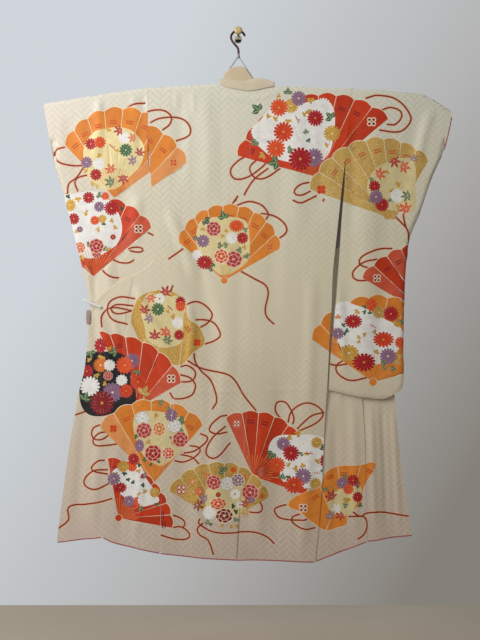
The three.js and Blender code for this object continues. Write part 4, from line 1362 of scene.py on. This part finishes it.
def crease_stand(creases, x, z):
    """How far the soft folds bring each point out into the room."""
    total = np.zeros(len(x))
    for points, half, stand in creases:
        line = [(a * MM, b * MM) for a, b in points]
        d, share = distance_to(line, x, z)
        across = 0.5 + 0.5 * np.cos(np.pi * np.clip(d / (half * MM), 0, 1))
        ends = smooth_step(share, -0.02, 0.22) * (1 - smooth_step(share, 0.72, 1.02))
        gain = RIDGE_GAIN if stand > 0 and half >= WIDE_FOLD else 1
        total += gain * stand * MM * across * ends
    return total


NECK = (-0.059, 0.118)  # the stretch of the top edge that the collar takes up
TOP_BAND = 20 * MM
SEAM_EASE = 13 * MM
HALF_SHELL = 1.9 * MM  # a folded sleeve's skins stay this far from its middle


class Panel:
    """A width of cloth, seen from the room (side -1) or from the wall (side 1)."""

    def __init__(self, node, side=-1, over=False, partner=False, seam=()):
        self.node, self.side, self.over = node, side, over
        self.depth = DepthMap(node, side)
        self.partner = DepthMap(node, -side) if partner else None
        self.seam = seam
        self.outline = self.trimmed(skin_line(node, side))

    def trimmed(self, points):
        """Brings the top edge up to the ridge, or past it where the cloth goes over the bar."""
        moved = []
        for x, z in points:
            top = float(top_line(x))
            in_neck = NECK[0] < x < NECK[1]
            if z > top - TOP_BAND and not (in_neck and "back" in self.node):
                if self.over:
                    z = top + PAST_RIDGE
                elif self.side > 0:
                    z = top - PAST_RIDGE - 0.3 * MM
            moved.append((x, z))
        return eased_outline(moved)

    def place(self, x, z):
        """Where the points of the flat cloth lie as it hangs."""
        drop = top_line(x) - z
        depth = self.depth.at(x, z)
        bent = np.abs(drop)
        reach = np.sqrt(np.maximum(1 - (1 - np.clip(bent / BEND, 0, 1)) ** 2, 0))
        rolled = BAR_Y + self.side * BEND * reach
        if self.partner is not None:
            mid = (depth + self.partner.at(x, z)) / 2
            off, _ = distance_to(self.seam_line(), x, z)
            shape = np.sqrt(np.maximum(1 - (1 - np.clip(off / SEAM_EASE, 0, 1)) ** 2, 0))
            depth = mid + self.side * np.maximum(np.abs(depth - mid) * shape, HALF_SHELL)
            rolled = BAR_Y + self.side * np.maximum(BEND * reach * shape, HALF_SHELL)
        blend = smooth_step(drop, 9 * MM, 30 * MM)
        y = np.where(drop > 9 * MM, rolled * (1 - blend) + depth * blend, rolled)
        creased = crease_stand(CREASES.get(self.node, ()), x, z)
        y = y + self.side * creased * smooth_step(drop, 4 * MM, 40 * MM)
        if self.over:
            y = np.where(drop < 0, 2 * BAR_Y - rolled, y)
        height = np.where((drop < 0) & self.over, top_line(x) - np.abs(drop), z)
        return np.stack([x, y, height], axis=1)

    def seam_line(self):
        return [(a * MM, b * MM) for a, b in self.seam]


def normals_of(panel, x, z):
    h = 0.5 * MM
    across = panel.place(x + h, z) - panel.place(x - h, z)
    up = panel.place(x, z + h) - panel.place(x, z - h)
    normal = np.cross(across, up)
    return normal / np.maximum(np.linalg.norm(normal, axis=1, keepdims=True), 1e-12)


def inside_grid(outline, pitch, clearance):
    """Evenly spread points inside an outline, a little off the square so no two line up."""
    xs = [p[0] for p in outline]
    zs = [p[1] for p in outline]
    columns = np.arange(min(xs), max(xs), pitch)
    rows = np.arange(min(zs), max(zs), pitch)
    x, z = (a.ravel() for a in np.meshgrid(columns, rows))
    x = x + pitch * 0.21 * np.sin(z * 911 + x * 37)
    z = z + pitch * 0.21 * np.sin(x * 773 + z * 59)
    ring = outline + outline[:1]
    inside = np.zeros(len(x), bool)
    for (ax, az), (bx, bz) in zip(ring, ring[1:]):
        crosses = (az > z) != (bz > z)
        with np.errstate(divide="ignore", invalid="ignore"):
            inside ^= crosses & (x < (bx - ax) * (z - az) / (bz - az) + ax)
    off, _ = distance_to(ring, x, z)
    keep = inside & (off > clearance)
    return list(zip(x[keep], z[keep]))


TILE = 18 * GRID  # the cloth is cut a square at a time, and the squares are joined again


def spans(shape):
    xs = [p[0] * MM for p in shape[0]]
    zs = [p[1] * MM for p in shape[0]]
    return min(xs), max(xs), min(zs), max(zs)


def signed_area(line):
    return sum(a[0] * b[1] - b[0] * a[1] for a, b in zip(line, line[1:] + line[:1])) / 2


def anticlockwise(line):
    return line if signed_area(line) > 0 else line[::-1]


def tile_frame(x, z):
    """The corners and edge points of one square, alike for the squares on both sides of an edge."""
    steps = [TILE * k / 18 for k in range(18)]
    foot = [(x + s, z) for s in steps]
    right = [(x + TILE, z + s) for s in steps]
    top = [(x + TILE - s, z + TILE) for s in steps]
    left = [(x, z + TILE - s) for s in steps]
    return foot + right + top + left


class Joined:
    """Points of the cut cloth, in which those that fall together are one."""

    def __init__(self):
        self.points = []
        self.cells = {}

    def add(self, x, z):
        column, row = round(x * 1e5), round(z * 1e5)
        for c in (column, column - 1, column + 1):
            for r in (row, row - 1, row + 1):
                for i in self.cells.get((c, r), ()):
                    if abs(self.points[i][0] - x) + abs(self.points[i][1] - z) < 3e-6:
                        return i
        self.points.append((x, z))
        self.cells.setdefault((column, row), []).append(len(self.points) - 1)
        return len(self.points) - 1


def cut_cloth(outline, shapes, pitch):
    """Triangles of the flat cloth, each with the number of the topmost shape on it."""
    boxes = np.array([spans(shape) for shape in shapes])
    filling = np.array(inside_grid(outline, pitch, 0.35 * pitch))
    joined = Joined()
    kept = []
    xs = [p[0] for p in outline]
    zs = [p[1] for p in outline]
    columns = range(math.floor(min(xs) / TILE), math.ceil(max(xs) / TILE))
    rows = range(math.floor(min(zs) / TILE), math.ceil(max(zs) / TILE))
    for x, z in ((c * TILE, r * TILE) for c in columns for r in rows):
        frame_points = tile_frame(x, z)
        points = [Vector(p) for p in outline + frame_points]
        faces = [list(range(len(outline))), list(range(len(outline), len(points)))]
        shown = [GROUND, GROUND]
        near = (boxes[:, 0] < x + TILE) & (boxes[:, 1] > x) & (boxes[:, 2] < z + TILE) & (boxes[:, 3] > z)
        for number in np.flatnonzero(near):
            start = len(points)
            points += [Vector((px * MM, pz * MM)) for px, pz in anticlockwise(shapes[number][0])]
            faces.append(list(range(start, len(points))))
            shown.append(int(number))
        margin = 0.3 * pitch
        fx, fz = filling[:, 0], filling[:, 1]
        within = (fx > x + margin) & (fx < x + TILE - margin) & (fz > z + margin) & (fz < z + TILE - margin)
        points += [Vector(p) for p in filling[within]]
        verts, _, tris, _, _, sources = delaunay_2d_cdt(points, [], faces, 0, 1e-6, True)
        numbers = {}
        for tri, source in zip(tris, sources):
            if 0 in source and 1 in source:
                for v in tri:
                    if v not in numbers:
                        numbers[v] = joined.add(verts[v].x, verts[v].y)
                corners = [numbers[v] for v in tri]
                if len(set(corners)) == 3:
                    kept.append((corners, shown[max(source)]))
    return np.array(joined.points), kept


def rim_of(triangles):
    """The directed edges that only one triangle has."""
    edges = {(t[i], t[(i + 1) % 3]) for t in triangles for i in range(3)}
    return [(a, b) for a, b in edges if (b, a) not in edges]


def chained(edges):
    following = dict(edges)
    start = edges[0][0]
    line = [start]
    while following[line[-1]] != start:
        line.append(following[line[-1]])
    return line


def panel_mesh(name, panel, shapes, lining_above=None):
    """A closed thin shell: the dyed skin, the plain skin behind it, and the edge between them."""
    flat, kept = cut_cloth(panel.outline, shapes, GRID)
    triangles = [tri for tri, _ in kept]
    loop = chained(rim_of(triangles))
    loop_set = {v: i for i, v in enumerate(loop)}
    used = sorted({v for tri in triangles for v in tri})
    index = {v: i for i, v in enumerate(used)}
    near_flat = flat[used]
    rim_flat = [tuple(flat[v]) for v in loop]
    back_points = [Vector(p) for p in rim_flat]
    back_points += [Vector(p) for p in inside_grid(rim_flat, 1.5 * GRID, GRID)]
    back_face = [list(range(len(loop)))]
    b_verts, _, b_tris, b_orig, _, b_src = delaunay_2d_cdt(back_points, [], back_face, 0, 1e-7, True)
    back_flat = np.array([tuple(v) for v in b_verts])
    b_tris = [t for t, s in zip(b_tris, b_src) if 0 in s]
    b_of_rim = {}
    for i, sources in enumerate(b_orig):
        for s in sources:
            if s < len(loop):
                b_of_rim[s] = i

    near = panel.place(near_flat[:, 0], near_flat[:, 1])
    behind = panel.place(back_flat[:, 0], back_flat[:, 1])
    outward = normals_of(panel, back_flat[:, 0], back_flat[:, 1])
    behind = behind - outward * CLOTH
    if panel.side > 0:
        behind = panel.place(back_flat[:, 0], back_flat[:, 1]) + outward * CLOTH
    offset = len(near)
    faces = []
    numbers = []
    parts = []
    for tri, number in kept:
        faces.append([index[v] for v in tri])
        numbers.append(number)
        parts.append(0)
    number_of = {}
    for tri, number in kept:
        for i in range(3):
            number_of[(tri[i], tri[(i + 1) % 3])] = number
    for tri in b_tris:
        faces.append([offset + v for v in reversed(tri)])
        numbers.append(GROUND)
        parts.append(1)
    for a, b in zip(loop, loop[1:] + loop[:1]):
        back_a = offset + b_of_rim[loop_set[a]]
        back_b = offset + b_of_rim[loop_set[b]]
        faces.append([index[b], index[a], back_a, back_b])
        numbers.append(number_of.get((a, b), GROUND))
        parts.append(2)
    if panel.side > 0:
        faces = [face[::-1] for face in faces]
    points = np.concatenate([near, behind])
    flats = np.concatenate([near_flat, back_flat])
    mesh = bpy.data.meshes.new(name)
    mesh.from_pydata([tuple(p) for p in points], [], faces)
    paint(mesh, shapes, numbers, parts, flats, lining_above)
    mesh.materials.append(FINISHES["silk"])
    mesh.materials.append(FINISHES["inner silk"])
    for face, part in zip(mesh.polygons, parts):
        face.material_index = 1 if part == 1 else 0
        face.use_smooth = True
    mesh.set_sharp_from_angle(angle=math.radians(50))
    mesh.update()
    piece = bpy.data.objects.new(name, mesh)
    bpy.context.scene.collection.objects.link(piece)
    return piece


def paint(mesh, shapes, numbers, parts, flats, lining_above):
    """Writes the dyes, and which places are dyed, gilt or lining, to the corners of the faces."""
    colours = {tint: linear(code) for tint, code in TINTS.items()}
    dye = mesh.color_attributes.new("dye", "FLOAT_COLOR", "CORNER")
    finish = mesh.color_attributes.new("finish", "FLOAT_COLOR", "CORNER")
    chart = mesh.uv_layers.new(name="OFBake")
    dyes = np.zeros((len(mesh.loops), 4))
    marks = np.zeros((len(mesh.loops), 4))
    low, high = flats.min(axis=0), flats.max(axis=0)
    spot = (flats - low) / (high - low)
    uvs = np.zeros((len(mesh.loops), 2))
    for face, number, part in zip(mesh.polygons, numbers, parts):
        run = slice(face.loop_start, face.loop_start + face.loop_total)
        if number != GROUND:
            tint = shapes[number][1]
            dyes[run] = colours[tint]
            marks[run, 0] = 1
            marks[run, 1] = tint in GILT
        corners = [mesh.loops[i].vertex_index for i in range(run.start, run.stop)]
        # Lining places take the silk finish's lining colour, which carries painted shade of the slit.
        if lining_above is not None and flats[corners, 1].mean() > lining_above:
            marks[run, 2] = 1
            marks[run, 0] = 0
        uvs[run] = spot[corners] * (0.49, 0.98) + ((0.505, 0.01) if part == 1 else (0.005, 0.01))
    marks[:, 3] = 1
    dyes[:, 3] = 1
    dye.data.foreach_set("color", dyes.ravel())
    finish.data.foreach_set("color", marks.ravel())
    chart.data.foreach_set("uv", uvs.ravel())


# Soft folds laid on each width: a line down the fold, its half width, and how far it stands out.
CREASES = {
    "sleeve_left": [
        ([(-462, -196), (-458, -300), (-470, -420)], 26, 2.2),
        ([(-460, -196), (-455, -270)], 15, 1.8),
        ([(-345, -186), (-340, -260)], 15, 1.8),
        ([(-300, -186), (-295, -250)], 15, 1.8),
        ([(-305, -180), (-318, -300), (-330, -420)], 22, -2.4),
        ([(-560, -260), (-520, -480)], 40, -2.5),
        ([(-478, -760), (-478, -880), (-470, -1040)], 20, -4),
        ([(-430, -700), (-425, -900), (-410, -1100)], 34, 3),
        ([(-380, -420), (-390, -640), (-420, -800)], 46, -3),
        ([(-330, -520), (-345, -700)], 30, 2.5),
    ],
    "sleeve_right": [
        ([(470, -200), (440, -520), (420, -900), (400, -1180)], 60, 2.4),
        ([(390, -200), (378, -420), (372, -700)], 26, -2.2),
        ([(600, -230), (560, -420), (510, -640)], 44, -2.6),
        ([(640, -240), (610, -330), (588, -430)], 26, 2.4),
        ([(330, -800), (345, -1000), (352, -1160)], 24, 2.2),
        ([(500, -760), (470, -980), (462, -1190)], 40, -2),
    ],
    "back_left": [
        ([(-60, -196), (-20, -208), (34, -212)], 9, 1.6),
        ([(-200, -186), (-190, -320), (-205, -520)], 34, -2.4),
        ([(-205, -186), (-200, -255)], 15, 1.8),
        ([(-150, -182), (-145, -270)], 15, 1.8),
        ([(-120, -180), (-95, -340), (-100, -560)], 46, 2.2),
        ([(-235, -560), (-170, -720), (-120, -860)], 30, 3.5),
        ([(-150, -760), (-105, -880), (-70, -1020)], 40, -4.5),
        ([(-165, -860), (-150, -980), (-165, -1120)], 24, 3.2),
        ([(-205, -1175), (-100, -1178), (40, -1174)], 5, 1.3),
        ([(-40, -1000), (-60, -1300), (-75, -1700)], 48, 2.6),
        ([(-190, -1240), (-175, -1460), (-185, -1700)], 38, -3),
        ([(-120, -1300), (-130, -1500), (-125, -1710)], 26, 2),
        ([(10, -560), (5, -900), (0, -1150)], 40, -1.8),
    ],
    "back_right": [
        ([(34, -212), (90, -206), (126, -190)], 9, 1.6),
        ([(200, -186), (190, -420), (195, -700)], 50, 2),
        ([(300, -200), (280, -420), (262, -620)], 36, -2.4),
        ([(120, -420), (118, -700), (112, -1000)], 44, -1.8),
        ([(245, -760), (240, -1000), (225, -1300)], 34, 2.2),
        ([(40, -1174), (160, -1170), (296, -1176)], 5, 1.3),
        ([(150, -1100), (135, -1400), (120, -1720)], 44, -2.8),
        ([(80, -1250), (70, -1500), (58, -1720)], 32, 2.4),
        ([(240, -1330), (222, -1560), (210, -1730)], 30, 2.6),
    ],
    "front_left": [
        ([(-340, -820), (-300, -930), (-215, -1040)], 26, 3.6),
        ([(-360, -900), (-310, -1030), (-240, -1130)], 24, -3.2),
        ([(-380, -960), (-340, -1130), (-290, -1260)], 26, 3),
        ([(-360, -1290), (-378, -1480), (-392, -1690)], 30, -3),
        ([(-320, -1400), (-330, -1560), (-340, -1690)], 24, 2.6),
    ],
    "okumi_left": [
        ([(-470, -900), (-440, -990), (-415, -1120)], 20, 3.6),
        ([(-478, -920), (-470, -1040), (-455, -1180)], 16, -3),
        ([(-440, -880), (-405, -950), (-392, -1040)], 16, 3),
        ([(-500, -1180), (-520, -1400), (-540, -1660)], 26, -3),
        ([(-450, -1260), (-470, -1450), (-485, -1650)], 30, 2.6),
    ],
    "front_right": [
        ([(330, -860), (334, -1060), (340, -1240)], 18, 3),
        ([(380, -1180), (384, -1400), (388, -1690)], 22, 3),
        ([(320, -1240), (322, -1480), (318, -1710)], 24, -2.4),
    ],
    "okumi_right": [
        ([(440, -1210), (446, -1420), (452, -1660)], 15, 3.6),
        ([(476, -1200), (486, -1440), (492, -1650)], 14, -3.2),
        ([(512, -1210), (524, -1440), (534, -1650)], 15, 3.4),
    ],
}

SLEEVE_SEAMS = {
    "sleeve_left": [(-609, -350), (-602, -450), (-572, -548), (-554, -624),
                    (-523, -747), (-495, -872), (-480, -1053), (-466, -1180), (-440, -1190), (-252, -1186)],
    "sleeve_right": [(685, -345), (668, -412), (642, -469), (607, -574), (573, -647),
                     (559, -723), (550, -863), (546, -1086), (548, -1145), (540, -1170), (515, -1196),
                     (469, -1202), (397, -1194), (300, -1172)],
}

PANELS = (
    ("back_width_left", "back_left", {"over": True}, ("back_left", "shoulder_left")),
    ("back_width_right", "back_right", {"over": True}, ("back_right", "shoulder_right")),
    ("front_width_left", "front_left", {}, ("front_left",)),
    ("front_width_right", "front_right", {}, ("front_right",)),
    ("overlap_left", "okumi_left", {}, ("okumi_left",)),
    ("overlap_right", "okumi_right", {}, ("okumi_right",)),
    ("sleeve_left_near", "sleeve_left", {"over": True, "partner": True}, ("sleeve_left",)),
    ("sleeve_left_far", "sleeve_left", {"side": 1, "partner": True}, ()),
    ("sleeve_right_near", "sleeve_right", {"over": True, "partner": True}, ("sleeve_right",)),
    ("sleeve_right_far", "sleeve_right", {"side": 1, "partner": True}, ()),
)
LINING_ABOVE = {"front_right": -0.70, "okumi_right": -0.86}


def add_panels():
    for name, node, settings, stands_for in PANELS:
        panel = Panel(node, seam=SLEEVE_SEAMS.get(node, ()), **settings)
        piece = panel_mesh(name, panel, design(node), LINING_ABOVE.get(node))
        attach(piece, "root")
        if stands_for:
            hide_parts(*stands_for)
        print(name, len(piece.data.polygons), "faces")


# ---- collar, hems and other sewn bands, made smooth from the frame's own solids ----

def smooth_copy(name, node, finish, levels=2, edge_crease=0.0):
    """A smooth piece on the form of a CAD node."""
    mesh = bmesh.new()
    mesh.from_mesh(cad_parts[node].data)
    bmesh.ops.remove_doubles(mesh, verts=mesh.verts, dist=2e-5)
    bmesh.ops.join_triangles(
        mesh, faces=mesh.faces, angle_face_threshold=math.radians(40), angle_shape_threshold=math.radians(70)
    )
    data = bpy.data.meshes.new(name)
    mesh.to_mesh(data)
    mesh.free()
    piece = bpy.data.objects.new(name, data)
    bpy.context.scene.collection.objects.link(piece)
    modifier = piece.modifiers.new("smooth", "SUBSURF")
    modifier.levels = modifier.render_levels = levels
    modifier.boundary_smooth = "ALL"
    graph = bpy.context.evaluated_depsgraph_get()
    made = bpy.data.meshes.new_from_object(piece.evaluated_get(graph))
    piece.modifiers.clear()
    piece.data = made
    bpy.data.meshes.remove(data)
    made.name = name
    for face in made.polygons:
        face.use_smooth = True
    made.materials.clear()
    made.materials.append(FINISHES[finish])
    return piece


SEWN = (
    ("collar_nape", "collar_band", "collar silk", "silk"),
    ("collar_run_left", "collar_left", "collar silk", "silk"),
    ("collar_run_right", "collar_right", "collar silk", "silk"),
    ("under_collar", "collar_inner", "collar lining", "silk"),
    ("collar_tip", "collar_end", "collar rose", "lining_red"),
    ("hem_roll_okumi_left", "hem_okumi_left", "lining red", "lining_red"),
    ("hem_roll_front_left", "hem_front_left", "lining red", "lining_red"),
    ("hem_roll_back", "hem_back", "lining red", "lining_red"),
    ("hem_roll_front_right", "hem_front_right", "lining red", "lining_red"),
    ("hem_roll_okumi_right", "hem_okumi_right", "lining red", "lining_red"),
    ("cuff_roll_right", "cuff_right", "lining red", "lining_red"),
    ("tie_cord", "tie", "tie", "tie"),
)


def add_sewn():
    for name, node, finish, slot in SEWN:
        piece = smooth_copy(name, node, finish)
        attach(piece, "root")
        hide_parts(node)


# ---- hanger, hook and knob ----

def rod(name, points, radius, finish, sides=20, step=4.0):
    """A round rod along a smooth line, closed at both ends; points are in millimetres."""
    line = [Vector(p) * MM for p in points]
    fine = []
    for i in range(len(line) - 1):
        a, b = line[i], line[i + 1]
        before = line[max(i - 1, 0)]
        after = line[min(i + 2, len(line) - 1)]
        pieces = max(2, round((b - a).length / (step * MM)))
        leave, arrive = (b - before) / 2, (after - a) / 2
        for k in range(pieces):
            t = k / pieces
            h = (2 * t**3 - 3 * t**2 + 1, t**3 - 2 * t**2 + t, -2 * t**3 + 3 * t**2, t**3 - t**2)
            fine.append(a * h[0] + leave * h[1] + b * h[2] + arrive * h[3])
    fine.append(line[-1])
    mesh = bmesh.new()
    rings = []
    side = Vector((0, 1, 0))
    for i, here in enumerate(fine):
        along = (fine[min(i + 1, len(fine) - 1)] - fine[max(i - 1, 0)]).normalized()
        other = along.cross(side).normalized()
        for shrink, shift in end_rings(i, len(fine)):
            centre = here + along * shift * radius * MM
            reach = radius * MM * shrink
            ring = []
            for k in range(sides):
                angle = 2 * math.pi * k / sides
                outward = side * math.cos(angle) + other * math.sin(angle)
                ring.append(mesh.verts.new(centre + outward * reach))
            rings.append(ring)
    for first, second in zip(rings, rings[1:]):
        for k in range(sides):
            n = (k + 1) % sides
            mesh.faces.new((first[k], first[n], second[n], second[k]))
    mesh.faces.new(rings[0][::-1])
    mesh.faces.new(rings[-1])
    bmesh.ops.recalc_face_normals(mesh, faces=mesh.faces)
    data = bpy.data.meshes.new(name)
    mesh.to_mesh(data)
    mesh.free()
    data.materials.append(FINISHES[finish])
    for face in data.polygons:
        face.use_smooth = True
    data.set_sharp_from_angle(angle=math.radians(60))
    piece = bpy.data.objects.new(name, data)
    bpy.context.scene.collection.objects.link(piece)
    return piece


def end_rings(i, count):
    """The rings at one step of a rod: one in its run, four that round off each end."""
    if i == 0:
        return ((0.3, 0.0), (0.7, 0.1), (0.92, 0.3), (1.0, 0.6))
    if i == count - 1:
        return ((1.0, -0.6), (0.92, -0.3), (0.7, -0.1), (0.3, 0.0))
    return ((1.0, 0.0),)


HOOK_LINE = (
    (23, -1),
    (18, 8),
    (10, 15.6),
    (0, 18.3),
    (-12, 14),
    (-21, 4),
    (-23, -8),
    (-17, -20),
    (-8, -31),
    (0, -42),
    (2, -59),
)
HOOK_RADIUS = 3.75
WIRE_RADIUS = 1.5
WIRES = {
    "hanger_wire_left": ((-2.5, -74), (-48, -140), (-56, -164)),
    "hanger_wire_right": ((6.5, -74), (51, -143), (68, -168.9)),
}
BAR_RADIUS = 7
BAR_DROP = 10.3 + 1  # of the bar's axis below the top of the cloth
BAR_ARM_LEFT = (-611, -520, -422, -360, -297, -230, -150, -80)
BAR_NECK = ((-58, -173), (0, -175), (40, -176), (80, -177))
BAR_ARM_RIGHT = (124, 200, 300, 376, 469, 558, 611)


def at_bar(points):
    return [(x, BAR_Y / MM, z) for x, z in points]


def bar_line():
    left = [(x, float(top_line(x * MM)) / MM - BAR_DROP) for x in BAR_ARM_LEFT]
    right = [(x, float(top_line(x * MM)) / MM - BAR_DROP) for x in BAR_ARM_RIGHT]
    return at_bar(left + list(BAR_NECK) + right)


def add_hanger():
    rods = [("hook_rod", at_bar(HOOK_LINE), HOOK_RADIUS, "hook", "hanger_hook", "hanger_hook", 1.5)]
    rods.append(("bar_rod", bar_line(), BAR_RADIUS, "hanger", "hanger_bar", "hanger", 12.0))
    for node, points in WIRES.items():
        rods.append((node + "_rod", at_bar(points), WIRE_RADIUS, "wire", node, "hanger_wire", 3.0))
    for name, points, radius, finish, node, slot, step in rods:
        piece = rod(name, points, radius, finish, step=step)
        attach(piece, "root")
        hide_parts(node)


KNOB_RADIUS = 13.5
KNOB_DEPTH = 13
KNOB_SIDES = 12
KNOB_PROFILE = (
    (0.0, 0.0), (0.62, 0.0), (0.82, 0.05), (0.94, 0.18), (1.0, 0.4),
    (0.97, 0.66), (0.84, 0.86), (0.6, 0.97), (0.3, 1.0),
)


def add_knob():
    """The pale gold knob, with soft facets round it."""
    low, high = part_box("knob")
    centre = (low + high) / 2
    mesh = bmesh.new()
    rings = []
    count = KNOB_SIDES * 4
    for share, depth in KNOB_PROFILE[1:]:
        ring = []
        for k in range(count):
            angle = 2 * math.pi * k / count
            facet = 1 - 0.022 * (0.5 - 0.5 * math.cos(KNOB_SIDES * angle))
            reach = KNOB_RADIUS * MM * share * facet
            y = high.y - KNOB_DEPTH * MM * depth
            x = centre.x + reach * math.cos(angle)
            z = centre.z + reach * math.sin(angle)
            ring.append(mesh.verts.new((x, y, z)))
        rings.append(ring)
    for first, second in zip(rings, rings[1:]):
        for k in range(count):
            n = (k + 1) % count
            mesh.faces.new((first[k], first[n], second[n], second[k]))
    mesh.faces.new(rings[0])
    mesh.faces.new(rings[-1])
    bmesh.ops.recalc_face_normals(mesh, faces=mesh.faces)
    data = bpy.data.meshes.new("knob_cap")
    mesh.to_mesh(data)
    mesh.free()
    data.materials.append(FINISHES["knob"])
    for face in data.polygons:
        face.use_smooth = True
    piece = bpy.data.objects.new("knob_cap", data)
    bpy.context.scene.collection.objects.link(piece)
    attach(piece, "root")
    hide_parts("knob")


CARRIED = {"wall_plate": "plate", "hook_bracket": "steel", "knob_stem": "steel", "ferrule": "wire"}


def finish_carried_nodes():
    for node, finish in CARRIED.items():
        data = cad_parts[node].data
        data.materials.clear()
        data.materials.append(FINISHES[finish])


# ---- the floor, well below the hem ----

FLOOR_Z = -1.92
FLOOR_END = 0.06  # the floor meets the wall just behind the cloth


def add_floor():
    mesh = bmesh.new()
    corners = ((-2.6, -2.6, 0), (2.6, -2.6, 0), (2.6, FLOOR_END, 0), (-2.6, FLOOR_END, 0))
    mesh.faces.new([mesh.verts.new(corner) for corner in corners])
    data = bpy.data.meshes.new("floor")
    mesh.to_mesh(data)
    mesh.free()
    data.materials.append(floor_finish())
    floor = bpy.data.objects.new("floor", data)
    floor.location = (0, 0, FLOOR_Z)
    bpy.context.scene.collection.objects.link(floor)


add_camera()
add_lights()
add_floor()
add_panels()
add_sewn()
add_hanger()
add_knob()
finish_carried_nodes()
